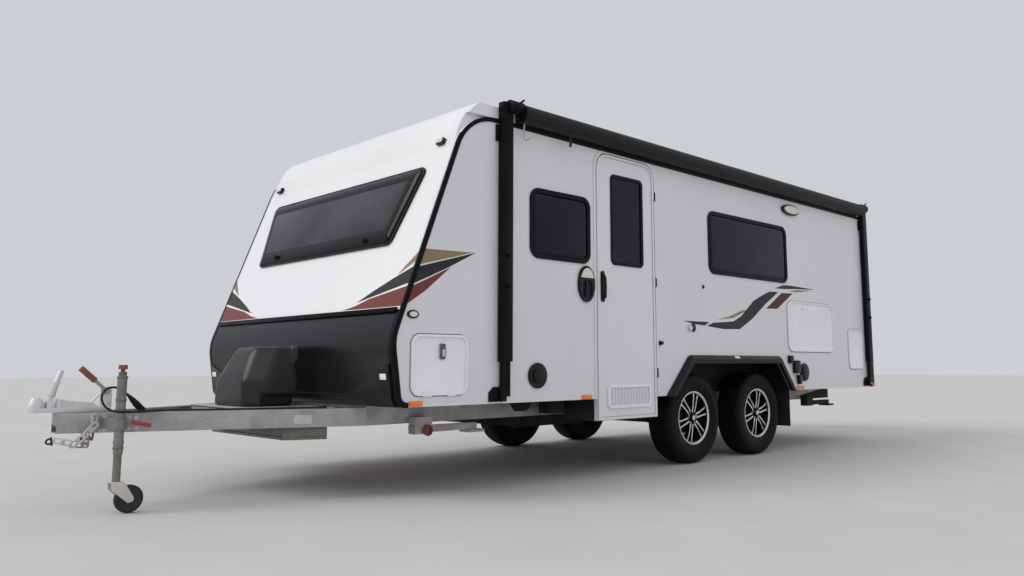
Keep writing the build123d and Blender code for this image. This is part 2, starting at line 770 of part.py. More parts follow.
def build_door_trim():
    """Black window surround and the pull handle with its drooping lever."""
    x = BODY_HALF
    middle = (PULL_FOOT_Z + PULL_TOP_Z) / 2
    plate = across(panel(PULL_Y - 22, PULL_Y + 22, PULL_FOOT_Z, PULL_TOP_Z, 16), x, x + 12)
    lever = across(rounded((
        (PULL_Y - 12, middle + 52, 8),
        (PULL_Y - 12, middle - 60, 8),
        (PULL_Y + 12, middle - 60, 8),
        (PULL_Y + 12, middle + 10, 0),
        (PULL_Y + 42, middle - 22, 4),
        (PULL_Y + 46, middle + 6, 4),
        (PULL_Y + 12, middle + 52, 8),
    )), x + 12, x + 34)
    return collect([window_frame(DOOR_WINDOW), plate + lever])


def build_door_glass():
    return window_pane(DOOR_WINDOW)


# Locker lids

def lid(sizes):
    """Flush lid with a raised rounded rim."""
    plate = across(panel(*sizes), INNER_HALF, BODY_HALF)
    rim = panel(*sizes) - panel(*sizes, grow=-LID_RIM)
    return plate + across(rim, BODY_HALF, BODY_HALF + LID_PROUD)


def build_front_lid():
    """Front locker lid with a recessed lock at mid height and two hinge barrels at its foot."""
    cover = lid(FRONT_LOCKER)
    front, rear, foot, top, _ = FRONT_LOCKER
    lock_y = (front + rear) / 2 + 18
    lock_z = top - 100
    recess = panel(
        lock_y - LOCK_WIDE / 2, lock_y + LOCK_WIDE / 2, lock_z - LOCK_HIGH / 2, lock_z + LOCK_HIGH / 2, 8)
    cover -= across(recess, BODY_HALF - 8, BODY_HALF + LAP)
    cover += across(panel(lock_y - 9, lock_y + 9, lock_z - 34, lock_z + 34, 6), BODY_HALF - 8, BODY_HALF + 2)
    axis_x = BODY_HALF + LID_HINGE_OUT
    axis_z = foot - LID_HINGE_DROP
    half = HINGE_LONG / 2
    for y in lid_hinge_stations(FRONT_LOCKER):
        cover += rod((axis_x, y - half, axis_z), (axis_x, y + half, axis_z), HINGE_R)
        cover += block(axis_x, BODY_HALF + LID_PROUD + 2, y - half, y + half, axis_z, foot + HINGE_LEAF)
    return cover


def build_heater_lid():
    """Large lid over the heater locker, with two turn studs near its top."""
    cover = lid(HEATER_LOCKER)
    front, rear, _, top, _ = HEATER_LOCKER
    long = rear - front
    for y in (front + long / 3, rear - long / 4):
        cover += disc_x(BODY_HALF, BODY_HALF + LAP, y, top - 60, 13)
    return cover


def build_rear_lid():
    return lid(REAR_LOCKER)


# Wheels

def wheel_round(radius, sides):
    """Regular polygon in place of a circle, standing on a flat that lies at the circle's foot."""
    return RegularPolygon(radius, sides, major_radius=False, rotation=180 / sides)


def turned(sections, sides=WHEEL_SIDES, capped=True):
    """Faceted body about the X axis through (x, radius) sections, as a ring where it isn't capped."""
    half_turn = math.pi / sides

    def corner(section, index):
        x, radius = section
        turn = (2 * index + 1) * half_turn
        reach = radius / math.cos(half_turn)
        return (x, -reach * math.sin(turn), -reach * math.cos(turn))

    pairs = list(zip(sections[:-1], sections[1:]))
    if not capped:
        pairs.append((sections[-1], sections[0]))
    facets = []
    for near, far in pairs:
        for index in range(sides):
            inner_edge = (corner(near, index), corner(near, index + 1))
            outer_edge = (corner(far, index + 1), corner(far, index))
            facets.append(outline(*inner_edge, *outer_edge))
    if capped:
        for section in (sections[0], sections[-1]):
            facets.append(outline(*[corner(section, index) for index in range(sides)]))
    return Solid(Shell(facets))


def tyre():
    """Tyre about the X axis, centred on the wheel: bulged flanks, rounded shoulders and a flat tread."""
    half = (
        (TREAD_HALF - SHOULDER, TYRE_R),
        (TREAD_HALF + SHOULDER / 2, TYRE_R - SHOULDER),
        (TYRE_HALF, SIDEWALL_R + SHOULDER),
        (TYRE_HALF, SIDEWALL_R - SHOULDER),
        (RIM_HALF, RIM_R),
    )
    other = [(-x, radius) for x, radius in reversed(half)]
    return turned((*half, *other), capped=False)


def spoke_pair():
    """Two parallel spokes joined by a bow at the hub end, as a face about the wheel's centre."""
    reach = RIM_R - RIM_SKIN / 2
    outer = SPOKE_SPLIT + SPOKE_WIDTH / 2
    inner = SPOKE_SPLIT - SPOKE_WIDTH / 2
    return outline(
        (SPOKE_ROOT_R - 34, -8),
        (SPOKE_ROOT_R, -outer),
        (reach, -outer - 4),
        (reach, -inner - 4),
        (SPOKE_ROOT_R + 14, -inner),
        (SPOKE_ROOT_R, 0),
        (SPOKE_ROOT_R + 14, inner),
        (reach, inner + 4),
        (reach, outer + 4),
        (SPOKE_ROOT_R, outer),
        (SPOKE_ROOT_R - 34, 8),
    )


def rim():
    """Twin-spoke wheel about the X axis with its brake drum; +X is the outer face."""
    lip = RIM_HALF + RIM_LIP
    wheel = turned(((-RIM_HALF, RIM_R), (lip, RIM_R)))
    wheel -= turned(((-RIM_HALF - LAP, RIM_R - 2 * RIM_SKIN - 1), (lip + LAP, RIM_R - RIM_SKIN + 3)))
    star = RegularPolygon(HUB_R, 2 * SPOKE_PAIRS)
    for index in range(SPOKE_PAIRS):
        star += Rot(0, 0, index * 360 / SPOKE_PAIRS) * spoke_pair()
    star &= wheel_round(RIM_R - RIM_SKIN / 2, WHEEL_SIDES)
    wheel += extrude(side_plane(SPOKE_BACK) * star, amount=SPOKE_FACE - SPOKE_BACK)
    wheel += turned(((SPOKE_FACE, CAP_R), (SPOKE_FACE + CAP_PROUD, CAP_R - 4)), 2 * SPOKE_PAIRS)
    wheel += turned(((-70, DRUM_R), (SPOKE_BACK, DRUM_R)), WHEEL_SIDES // 2)
    return wheel - disc_x(-71, -10, 0, 0, STUB_R + STUB_PLAY)


def place_wheel(shape, station, side):
    if side < 0:
        shape = other_side(shape)
    return Pos(side * WHEEL_X, station, WHEEL_Z) * shape


def build_wheel_arches():
    """Flared black surrounds with rounded top corners and a bevelled outer edge, one on each side."""
    surround = across(arch_opening(FLARE_WIDTH, FLARE_BEND), BODY_HALF, BODY_HALF + FLARE_OUT)
    rim_edges = surround.faces().sort_by(Axis.X)[-1].edges().sort_by(Axis.Z)[1:]
    surround = chamfer(rim_edges, FLARE_BEVEL)
    surround -= across(arch_opening(), BODY_HALF - LAP, BODY_HALF + FLARE_OUT + LAP)
    below = block(BODY_HALF - LAP, BODY_HALF + FLARE_OUT + LAP, 0, BODY_LENGTH, 0, SILL_Z - 5)
    return both_sides(surround - below)


def build_mud_flaps():
    rear = ARCH_FOOT_REAR + FLAP_BEHIND
    middle = BODY_HALF - FLAP_HALF - LAP * 3
    flap = block(
        middle - FLAP_HALF, middle + FLAP_HALF, rear - FLAP_THICK, rear, SILL_Z - FLAP_DROP, SILL_Z)
    return both_sides(flap)


# Chassis

def steady_hanger(station, side):
    """Hanger fixed to the outside of a rail, with a steady's pin and the nose of its winding spindle."""
    x = side * STEADY_X
    cheek = STEADY_HALF + PLAY
    outer = cheek + LAP
    front = station - 90
    rear = station + 40
    low = STEADY_Z - 30
    top = RAIL_FOOT_Z + 40
    hanger = block(x - outer, x + outer, front, rear, low, top)
    hanger -= block(x - cheek, x + cheek, front + LAP, rear + LAP, low - LAP, top - LAP)
    hanger += rod((x, front - 2 * LAP, STEADY_Z + LAP), (x, front, STEADY_Z + LAP), 2 * STEADY_PIN_R)
    return hanger + disc_x(x - outer, x + outer, station, STEADY_Z, STEADY_PIN_R)


def build_chassis():
    """Two channel rails open inwards, their cross members and the corner steadies' hangers."""
    rail = block(RAIL_OUT - RAIL_WIDE, RAIL_OUT, RAIL_START, RAIL_END, RAIL_FOOT_Z, RAIL_TOP_Z)
    rail -= block(
        RAIL_OUT - RAIL_WIDE - LAP, RAIL_OUT - RAIL_WALL, RAIL_START - LAP, RAIL_END + LAP,
        RAIL_FOOT_Z + RAIL_WALL, RAIL_TOP_Z - RAIL_WALL,
    )
    frame = rail + other_side(rail)
    reach = RAIL_OUT - RAIL_WALL
    for station in CROSS_STATIONS:
        front = station - CROSS_WIDE / 2
        rear = station + CROSS_WIDE / 2
        frame += block(-reach, reach, front, rear, RAIL_FOOT_Z + RAIL_WALL, RAIL_TOP_Z - RAIL_WALL)
    for _, station in STEADY_STATIONS:
        for side in (-1, 1):
            frame += steady_hanger(station, side)
    return frame


def draw_rail():
    """Channel rail of the drawbar on the +X side, open inwards."""
    def plan(outer_in, inner_in):
        return outline(
            (DRAW_TIP_HALF - outer_in * DRAW_SKEW, DRAW_TIP_Y),
            (RAIL_OUT - outer_in * DRAW_SKEW, RAIL_START),
            (RAIL_OUT - inner_in * DRAW_SKEW, RAIL_START),
            (DRAW_TIP_HALF - inner_in * DRAW_SKEW, DRAW_TIP_Y),
        )

    high = DRAW_TOP_Z - DRAW_FOOT_Z
    solid = extrude(Plane.XY.offset(DRAW_FOOT_Z) * plan(0, DRAW_WIDE), amount=high)
    hollow = extrude(
        Plane.XY.offset(DRAW_FOOT_Z + RAIL_WALL) * plan(RAIL_WALL, DRAW_WIDE + LAP),
        amount=high - 2 * RAIL_WALL)
    return (solid - hollow) & block(0, 2 * RAIL_OUT, DRAW_TIP_Y, RAIL_START, 0, SILL_Z)


def build_drawbar():
    """A-shaped drawbar: two rails, a boxed tip with a cut-away chin, cross members and the gas tray."""
    frame = draw_rail()
    frame += other_side(draw_rail())
    tip_rear = DRAW_TIP_Y + TIP_BOX
    tip = outline(
        (DRAW_TIP_Y, TIP_TOP_Z),
        (DRAW_TIP_Y, DRAW_FOOT_Z + TIP_CHIN),
        (DRAW_TIP_Y + TIP_CHIN, DRAW_FOOT_Z),
        (tip_rear, DRAW_FOOT_Z),
        (tip_rear, TIP_TOP_Z),
    )
    frame += across(tip, -DRAW_TIP_HALF, DRAW_TIP_HALF)
    for station in (DRAW_CROSS_Y, RAIL_START - CROSS_WIDE / 2):
        half = rail_face(station) - 2 * RAIL_WALL
        front = station - CROSS_WIDE / 2
        rear = station + CROSS_WIDE / 2
        frame += block(-half, half, front, rear, DRAW_FOOT_Z + RAIL_WALL, DRAW_TOP_Z - RAIL_WALL)
    tray_front = DRAW_CROSS_Y - CROSS_WIDE / 2
    tray_in = DRAW_WIDE * DRAW_SKEW - LAP
    tray = outline(
        (tray_in - rail_face(tray_front), tray_front),
        (rail_face(tray_front) - tray_in, tray_front),
        (rail_face(0) - tray_in, 0),
        (tray_in - rail_face(0), 0),
    )
    frame += extrude(Plane.XY.offset(DRAW_TOP_Z) * tray, amount=TIP_TOP_Z - DRAW_TOP_Z)
    pin = rod(
        (rail_face(CHAIN_PIN_Y) - RAIL_WALL, CHAIN_PIN_Y, CHAIN_PIN_Z),
        (CHAIN_X + CHAIN_PIN_OUT / 2, CHAIN_PIN_Y, CHAIN_PIN_Z), CHAIN_PIN_R)
    frame += pin
    frame += other_side(pin)
    return frame


def build_axles():
    """Rubber-sprung hexagonal cross tubes with trailing arms, stub axles and brake backplates."""
    parts = []
    for _, station in AXLE_STATIONS:
        tube_y = station - AXLE_LEAD
        tube = extrude(
            Plane(origin=(-ARM_X, tube_y, AXLE_Z), z_dir=(1, 0, 0)) * RegularPolygon(AXLE_TUBE_R, 6),
            amount=2 * ARM_X)
        big_end = Pos(tube_y, AXLE_Z) * RegularPolygon(ARM_BIG_R, ROUND_SIDES)
        small_end = Pos(station, WHEEL_Z) * RegularPolygon(ARM_SMALL_R, ROUND_SIDES)
        arm_face = make_hull(big_end.edges() + small_end.edges())
        arm = across(arm_face, ARM_X, ARM_X + ARM_THICK)
        arm += disc_x(ARM_X + ARM_THICK, WHEEL_X - 12, station, WHEEL_Z, STUB_R)
        backplate = turned(((BACKPLATE_X, DRUM_R), (BACKPLATE_X + 8, DRUM_R)), WHEEL_SIDES // 2)
        arm += Pos(0, station, WHEEL_Z) * backplate
        arm += block(RAIL_OUT - RAIL_WIDE, RAIL_OUT, tube_y - 60, tube_y + 60, AXLE_Z, RAIL_FOOT_Z)
        parts.append(tube + arm + other_side(arm))
    return collect(parts)


# Coupling and handbrake

def build_coupling():
    """Ball cup on a channel that bolts to the drawbar tip, with its ribbed hump and lever brackets."""
    channel_end = CUP_Y + CHANNEL_LONG
    body = block(-CHANNEL_HALF, CHANNEL_HALF, CUP_Y, channel_end, TIP_TOP_Z, CHANNEL_TOP_Z)
    cup = revolve(Plane.XZ * outline(
        (0, TIP_TOP_Z),
        (CUP_R, TIP_TOP_Z),
        (CUP_R, TIP_TOP_Z + CUP_HIGH / 2),
        (CUP_TOP_R, TIP_TOP_Z + CUP_HIGH),
        (0, TIP_TOP_Z + CUP_HIGH),
    ), axis=Axis.Z)
    body += Pos(0, CUP_Y, 0) * cup
    hump_front = HANDLE_Y + 30
    hump = outline(
        (hump_front, CHANNEL_TOP_Z),
        (hump_front + 6, CHANNEL_TOP_Z + 50),
        (hump_front + 60, CHANNEL_TOP_Z + 38),
        (channel_end - 90, CHANNEL_TOP_Z + 22),
        (channel_end - 60, CHANNEL_TOP_Z),
    )
    body += across(hump, -CHANNEL_HALF + 8, CHANNEL_HALF - 8)
    for index in range(4):
        groove = hump_front + 24 + index * 17
        for side in (-1, 1):
            cheek = side * (CHANNEL_HALF - 8)
            body -= block(min(cheek, cheek - side * 4), max(cheek, cheek - side * 4),
                          groove, groove + 7, CHANNEL_TOP_Z + 4, CHANNEL_TOP_Z + 70)
    for side in (-1, 1):
        ear_x = side * 26
        body += block(ear_x - 4, ear_x + 4, HANDLE_Y - 16, HANDLE_Y + 16, TIP_TOP_Z, HANDLE_Z + 14)
    plate_out = BRAKE_X - 22
    body += block(plate_out, plate_out + 11, BRAKE_Y - 30, BRAKE_Y + 34, TIP_TOP_Z, BRAKE_Z + 22)
    body += block(plate_out, -CHANNEL_HALF, BRAKE_Y - 30, BRAKE_Y + 4, TIP_TOP_Z, CHANNEL_TOP_Z)
    body += rod((plate_out + 4, BRAKE_Y - 26, BRAKE_Z - 12), (plate_out + 4, BRAKE_Y - 84, TIP_TOP_Z + 30), 5)
    return body - post(0, CUP_Y, TIP_TOP_Z - LAP, TIP_TOP_Z + BALL_DEPTH, BALL_R)


def build_coupling_handle():
    """Stabiliser lever standing up behind the ball cup: a tapered sleeve, a joint and a thinner grip."""
    lean = math.radians(HANDLE_LEAN)

    def along(reach):
        return (0, HANDLE_Y + reach * math.sin(lean), HANDLE_Z + reach * math.cos(lean))

    joint = HANDLE_REACH * 0.6
    sleeve = joint - HANDLE_COLLAR
    shoulder = Plane(origin=along(HANDLE_COLLAR), z_dir=Vector(0, math.sin(lean), math.cos(lean)))
    lever = rod(along(0), along(HANDLE_COLLAR), HANDLE_R)
    taper = math.degrees(math.atan2(HANDLE_FLARE, sleeve))
    foot = RegularPolygon(HANDLE_R + HANDLE_FLARE, ROUND_SIDES)
    lever += extrude(shoulder * foot, amount=sleeve, taper=taper)
    lever += rod(along(joint - 9), along(joint + 9), HANDLE_R + 3)
    lever += rod(along(joint), along(HANDLE_REACH), HANDLE_R - 1)
    return lever + disc_x(-20, 20, HANDLE_Y, HANDLE_Z, 17)


def build_handbrake():
    """Parking brake lever pointing forward and up, with a thick grip."""
    rise = math.radians(BRAKE_RISE)

    def along(reach):
        return (BRAKE_X, BRAKE_Y - reach * math.cos(rise), BRAKE_Z + reach * math.sin(rise))

    neck = BRAKE_REACH * 0.45
    lever = rod(along(0), along(neck), 10) + rod(along(neck), along(BRAKE_REACH), 17)
    return lever + disc_x(BRAKE_X - 9, BRAKE_X + 9, BRAKE_Y, BRAKE_Z, 18)


# Jockey wheel

def build_jockey_tube():
    """Outer tube in its clamp, which is bolted to the outside of the drawbar rail."""
    tube = post(JOCKEY_X, JOCKEY_Y, JOCKEY_TUBE_FOOT_Z, JOCKEY_TUBE_TOP_Z, JOCKEY_TUBE_R)
    tube += post(JOCKEY_X, JOCKEY_Y, CLAMP_FOOT_Z, CLAMP_FOOT_Z + CLAMP_HIGH, JOCKEY_TUBE_R + 8)
    tube += post(JOCKEY_X, JOCKEY_Y, DRAW_FOOT_Z - 56, DRAW_FOOT_Z - 42, JOCKEY_TUBE_R + 3)
    half = 60
    plate = outline(
        (rail_face(JOCKEY_Y - half) + 0.5, JOCKEY_Y - half),
        (rail_face(JOCKEY_Y + half) + 0.5, JOCKEY_Y + half),
        (JOCKEY_X - 20, JOCKEY_Y + 22),
        (JOCKEY_X - 20, JOCKEY_Y - 22),
    )
    tube += extrude(Plane.XY.offset(CLAMP_FOOT_Z) * plate, amount=CLAMP_HIGH)
    lever_z = CLAMP_FOOT_Z + CLAMP_HIGH - 16
    tube += rod((JOCKEY_X + 12, JOCKEY_Y + 28, lever_z), (JOCKEY_X + 26, JOCKEY_Y + 150, lever_z - 28), 8)
    bore_top = JOCKEY_TUBE_TOP_Z - 3 * LAP
    return tube - post(JOCKEY_X, JOCKEY_Y, JOCKEY_TUBE_FOOT_Z - LAP, bore_top, JOCKEY_LEG_R + 0.5)


def build_jockey_crank():
    """Turning cap and square knob on top of the outer tube."""
    cap_foot = JOCKEY_TUBE_TOP_Z + 1
    cap_top = cap_foot + 22
    crank = post(JOCKEY_X, JOCKEY_Y, cap_foot, cap_top, JOCKEY_LEG_R)
    crank += post(JOCKEY_X, JOCKEY_Y, cap_top, cap_top + 14, 11)
    knob = Pos(JOCKEY_X, JOCKEY_Y, cap_top + 14) * extrude(
        RegularPolygon(24, 6), amount=JOCKEY_KNOB_TOP_Z - cap_top - 14)
    return crank + knob


def build_jockey_leg():
    return post(JOCKEY_X, JOCKEY_Y, JOCKEY_LEG_FOOT_Z + 12, JOCKEY_LEG_TOP_Z, JOCKEY_LEG_R)


def build_jockey_fork():
    """Swivelling fork with two cheek plates and the wheel's pin."""
    axle_y = JOCKEY_Y + JOCKEY_TRAIL
    crown = JOCKEY_LEG_FOOT_Z + 12
    cheek = outline(
        (JOCKEY_Y - 34, crown),
        (JOCKEY_Y - 30, crown - 40),
        (axle_y - 12, JOCKEY_WHEEL_R - 20),
        (axle_y + 16, JOCKEY_WHEEL_R - 12),
        (axle_y + 18, JOCKEY_WHEEL_R + 8),
        (JOCKEY_Y + 34, crown),
    )
    out = JOCKEY_WHEEL_HALF + 9
    fork = across(cheek, JOCKEY_X - out, JOCKEY_X + out)
    fork -= block(JOCKEY_X - out + 4, JOCKEY_X + out - 4, JOCKEY_Y - 60, axle_y + 60, 0, crown - 5)
    return fork + disc_x(JOCKEY_X - out, JOCKEY_X + out, axle_y, JOCKEY_WHEEL_R, JOCKEY_PIN_R)


def build_jockey_wheel():
    """Solid rubber wheel with bevelled edges, bored for its pin."""
    half = JOCKEY_WHEEL_HALF
    wheel = turned((
        (-half, JOCKEY_WHEEL_R - 10),
        (10 - half, JOCKEY_WHEEL_R),
        (half - 10, JOCKEY_WHEEL_R),
        (half, JOCKEY_WHEEL_R - 10),
    ))
    wheel -= disc_x(-half - LAP, half + LAP, 0, 0, JOCKEY_PIN_R + STUB_PLAY)
    return Pos(JOCKEY_X, JOCKEY_Y + JOCKEY_TRAIL, JOCKEY_WHEEL_R) * wheel


# Corner steadies

def steady_leg(station, side):
    """Stowed leg pointing back: a channel open above, with its foot pad."""
    x = side * STEADY_X
    half = STEADY_HALF
    wall = 6
    end = station + STEADY_REACH
    leg = block(x - half, x + half, station - 20, end, STEADY_Z - half, STEADY_Z + half)
    leg -= block(
        x - half + wall, x + half - wall, station - 40, end - 60, STEADY_Z - half + wall, STEADY_Z + 2 * half)
    pad_top = STEADY_Z - half
    leg += block(x - 55, x + 55, end - 90, end + 40, pad_top - 18, pad_top)
    return leg - disc_x(x - 2 * half, x + 2 * half, station, STEADY_Z, STEADY_PIN_R + STUB_PLAY)


# Awning

def build_awning_roll():
    """Rolled canvas with the pull strap that hangs near its front end."""
    ends = [station for _, station in ARM_STATIONS]
    inset = ARM_WIDTH / 2 + AWNING_BOSS
    roll = rod((AWNING_X, ends[0] + inset, AWNING_Z), (AWNING_X, ends[1] - inset, AWNING_Z), AWNING_R)
    strap_y = ends[0] + 560
    strap = block(AWNING_X + 20, AWNING_X + 24, strap_y - 12, strap_y + 12, AWNING_Z - 250, AWNING_Z - 50)
    return roll + strap


def awning_arm(name, station):
    """One folded support arm: capped upright, telescoping foot with holes, brackets and end casting."""
    inner = BODY_HALF + TRIM_PROUD + 2
    outer = inner + ARM_DEEP
    low = station - ARM_WIDTH / 2
    high = station + ARM_WIDTH / 2
    arm = block(inner, outer, low, high, ARM_STEP_Z, ARM_TOP_Z - 60)
    cap = outline(
        (low - 3, ARM_TOP_Z - 60),
        (high + 3, ARM_TOP_Z - 60),
        (high + 3, ARM_TOP_Z - 16),
        (station, ARM_TOP_Z),
        (low - 3, ARM_TOP_Z - 12),
    )
    arm += across(cap, inner, outer + 3)
    arm += block(inner + 4, outer - 6, low + 14, high - 14, ARM_FOOT_Z, ARM_STEP_Z)
    for index in range(ARM_HOLES):
        z = ARM_FOOT_Z + 70 + index * (ARM_STEP_Z - ARM_FOOT_Z - 90) / (ARM_HOLES - 1)
        arm -= block(outer - 14, outer, station - 7, station + 7, z - 7, z + 7)
    foot = outline(
        (low - 68, SILL_Z + 12),
        (high - 14, SILL_Z + 12),
        (high - 14, SILL_Z + 104),
        (low - 30, SILL_Z + 104),
        (low - 68, SILL_Z + 70),
    )
    arm += across(foot, BODY_HALF, BODY_HALF + SHEET + TRIM_PROUD)
    arm += block(BODY_HALF, outer - 6, low, low + 14, SILL_Z + 12, SILL_Z + 104)
    arm += block(BODY_HALF, inner + 4, low - 22, high - 30, EAVES_Z - 150, EAVES_Z - 40)
    toward = 1 if name == "front" else -1
    boss_end = station + toward * (ARM_WIDTH / 2 + AWNING_BOSS)
    arm += rod((AWNING_X, station, AWNING_Z), (AWNING_X, boss_end, AWNING_Z), AWNING_BOSS_R)
    lever_y = station + toward * (ARM_WIDTH / 2 + 30)
    arm += rod((AWNING_X + 30, lever_y - 8, AWNING_Z + 26), (AWNING_X + 52, lever_y + 14, AWNING_Z + 50), 7)
    for z in (SILL_Z + 745, EAVES_Z - 910):
        arm += disc_x(outer - 1, outer + 22, station, z, 13)
    return arm


def build_awning_arms():
    return collect([awning_arm(name, station) for name, station in ARM_STATIONS])


# Gas bottle cover

def cover_section(rise, front_half, front, rear_half):
    """Plan of the cover at one height: bevelled front corners, then sides that widen to the rear."""
    mid_half = front_half + COVER_CORNER
    mid = front + COVER_CORNER
    return Plane.XY.offset(TIP_TOP_Z + rise) * outline(
        (-front_half, front),
        (front_half, front),
        (mid_half, mid),
        (rear_half, COVER_REAR),
        (-rear_half, COVER_REAR),
        (-mid_half, mid),
    )


def build_gas_cover():
    """Black moulded cover over the gas bottles, standing on the drawbar's tray."""
    sections = [cover_section(*plan) for plan in COVER_PLANS]
    cover = loft(sections[:2], ruled=True) + loft(sections[1:], ruled=True)
    rear = COVER_REAR
    top_z = TIP_TOP_Z + COVER_HIGH
    notch = block(262, 400, -300, rear + LAP, TIP_TOP_Z - LAP, TIP_TOP_Z + 74)
    cover -= notch
    cover -= other_side(notch)
    fold_front = COVER_PLANS[1][2]
    top_front = COVER_PLANS[2][2]
    lean = math.degrees(math.atan2(top_front - fold_front, COVER_HIGH - COVER_FOLD))
    middle = (0, (fold_front + top_front) / 2, TIP_TOP_Z + (COVER_FOLD + COVER_HIGH) / 2)
    face = Plane(origin=middle, x_dir=(1, 0, 0), z_dir=(0, -1, 0)).rotated((-lean, 0, 0))
    front_panel = face * rounded((
        (-150, -88, 24), (150, -88, 24), (112, 92, 24), (-112, 92, 24),
    ))
    cover += extrude(front_panel, amount=9, taper=30)
    cover += block(-320, 320, rear - 18, rear, top_z - 90, top_z + 14)
    return cover


# Fittings on the walls and under the floor

def oval(half_long, half_high):
    """Ellipse about the origin, drawn with straight sides."""
    turns = [math.tau * index / (2 * ROUND_SIDES) for index in range(2 * ROUND_SIDES)]
    return outline(*[(half_long * math.cos(turn), half_high * math.sin(turn)) for turn in turns])


def boss(x0, x1, y, z, radius):
    """Round plate across X, drawn with straight sides."""
    return Pos(0, y, z) * turned(((x0, radius), (x1, radius)), 2 * ROUND_SIDES)


def front_marker_plane(out=0):
    """Plane of the front marker lamp on the door side, out in front of the wall."""
    return front_plane(MARKER_Z, out) * Pos(MARKER_X, 0)


def build_side_fittings():
    """Small black fittings on the door side: grab handle, flue, sockets, catch, lock and lamp bodies."""
    x = BODY_HALF
    y, z = GRAB_LAMP
    grab = across(Pos(y, z) * oval(*GRAB_HALF), x, x + GRAB_PROUD)
    grab -= across(Pos(y, z - 37) * oval(58, 66), x + 5, x + GRAB_PROUD + 4)
    grab += block(x + 5, x + GRAB_PROUD, y - 12, y + 12, z - 112, z + 38)
    entry_lamp = across(Pos(*ENTRY_LAMP) * oval(*ENTRY_HALF), x, x + ENTRY_PROUD)
    side_lamp = across(Pos(*SIDE_LAMP) * oval(*SIDE_LAMP_HALF), x, x + 8)
    marker_body = extrude(front_marker_plane() * RectangleRounded(72, 44, 8), amount=MARKER_BODY)
    parts = [grab, entry_lamp, side_lamp, marker_body, other_side(marker_body)]
    rounds = (
        # station, height, radius, proud, boss radius, boss proud
        (1162, SILL_Z + 171, 84, 14, 52, 30),
        (DOOR_REAR + 53, SILL_Z + 409, 20, 5, 13, 30),
        (AXLE_FRONT + 79, SILL_Z + 888, 16, 5, 8, 8),
        (AXLE_FRONT - 79, SILL_Z + 541, 34, 6, 20, 11),
        (SERVICE_Y + 220, SILL_Z + 167, 86, 10, 60, 22),
    )
    for y, z, radius, proud, boss_radius, boss_proud in rounds:
        parts.append(boss(x, x + proud, y, z, radius) + boss(x, x + boss_proud, y, z, boss_radius))
    boxes = (
        # front, rear, bottom, top, proud, corner radius
        (SERVICE_Y - 84, SERVICE_Y - 20, SERVICE_Z + 93, SERVICE_Z + 167, 30, 10),
        (SERVICE_Y, SERVICE_Y + 101, SERVICE_Z, SERVICE_Z + 121, 34, 14),
    )
    for front, rear, foot, top, proud, radius in boxes:
        parts.append(across(panel(front, rear, foot, top, radius), x, x + proud))
    vent_top = SERVICE_Z - 15
    vent = outline(
        (SERVICE_Y + 64, vent_top),
        (SERVICE_Y + 129, vent_top),
        (SERVICE_Y + 115, vent_top - 87),
        (SERVICE_Y + 78, vent_top - 87),
    )
    parts.append(across(vent, x, x + 34))
    return collect(parts)


def build_lamp_lenses():
    """Pale lenses: grab handle lamp, entry lamp, front side lamps and front marker lamps."""
    x = BODY_HALF
    y, z = GRAB_LAMP
    grab = Pos(y, z) * oval(GRAB_HALF[0] - 15, GRAB_HALF[1] - 17)
    grab = across(grab & (Pos(y, z + 83) * Rectangle(200, 80)), x + GRAB_PROUD, x + GRAB_PROUD + 8)
    entry = Pos(*ENTRY_LAMP) * oval(ENTRY_HALF[0] - 25, ENTRY_HALF[1] - 15)
    entry = across(entry, x + ENTRY_PROUD, x + ENTRY_PROUD + 12)
    side = Pos(*SIDE_LAMP) * oval(SIDE_LAMP_HALF[0] - 14, SIDE_LAMP_HALF[1] - 9)
    side = across(side, x + 8, x + 14)
    marker = extrude(front_marker_plane(MARKER_BODY) * RectangleRounded(58, 30, 8), amount=8)
    return collect([grab, entry, side, other_side(side), marker, other_side(marker)])


def build_markers():
    """Amber side markers along the sills; the rearmost sits on the edge trim."""
    stations = (
        # station, height, half length, face it stands on
        (179, SILL_Z + 19, 45, BODY_HALF),
        (1648, SILL_Z + 16, 48, BODY_HALF),
        (4672, SILL_Z + 22, 62, BODY_HALF),
        (BODY_LENGTH - 40, SILL_Z + 20, 32, BODY_HALF + TRIM_PROUD),
    )
    parts = []
    for y, z, half, face in stations:
        marker = block(face, face + 12, y - half, y + half, z - 15, z + 15)
        parts.append(marker)
        parts.append(other_side(marker))
    return collect(parts)


def build_rear_lamps():
    """Upright rear lamp clusters, each with three raised lenses."""
    face = BODY_LENGTH + REAR_PROUD - LAP
    lamp = block(
        REAR_LAMP_X - REAR_LAMP_HALF, REAR_LAMP_X + REAR_LAMP_HALF, BODY_LENGTH, face,
        REAR_LAMP_Z, REAR_LAMP_Z + REAR_LAMP_HIGH)
    for index in range(3):
        z = REAR_LAMP_Z + (index + 0.5) * REAR_LAMP_HIGH / 3
        lens_plane = Plane(origin=(REAR_LAMP_X, face, z), z_dir=(0, 1, 0))
        lamp += extrude(lens_plane * RegularPolygon(REAR_LENS_R, 2 * ROUND_SIDES), amount=LAP)
    return both_sides(lamp)


def hatch_block(station, half, foot, top):
    return block(-HATCH_HALF, HATCH_HALF, station - half, station + half, foot, top)


def build_roof_hatches():
    """Roof hatches: an upstand through the roof and a dome with sloping sides."""
    parts = []
    for station, half in HATCHES:
        dome_foot = ROOF_TOP_Z + LAP
        hatch = hatch_block(station, half, ROOF_TOP_Z - ROOF_SKIN - LAP, dome_foot)
        lid_face = Plane.XY.offset(dome_foot) * Pos(0, station) * Rectangle(2 * HATCH_HALF, 2 * half)
        hatch += extrude(lid_face, amount=HATCH_PROUD - LAP, taper=40)
        parts.append(hatch)
    return collect(parts)


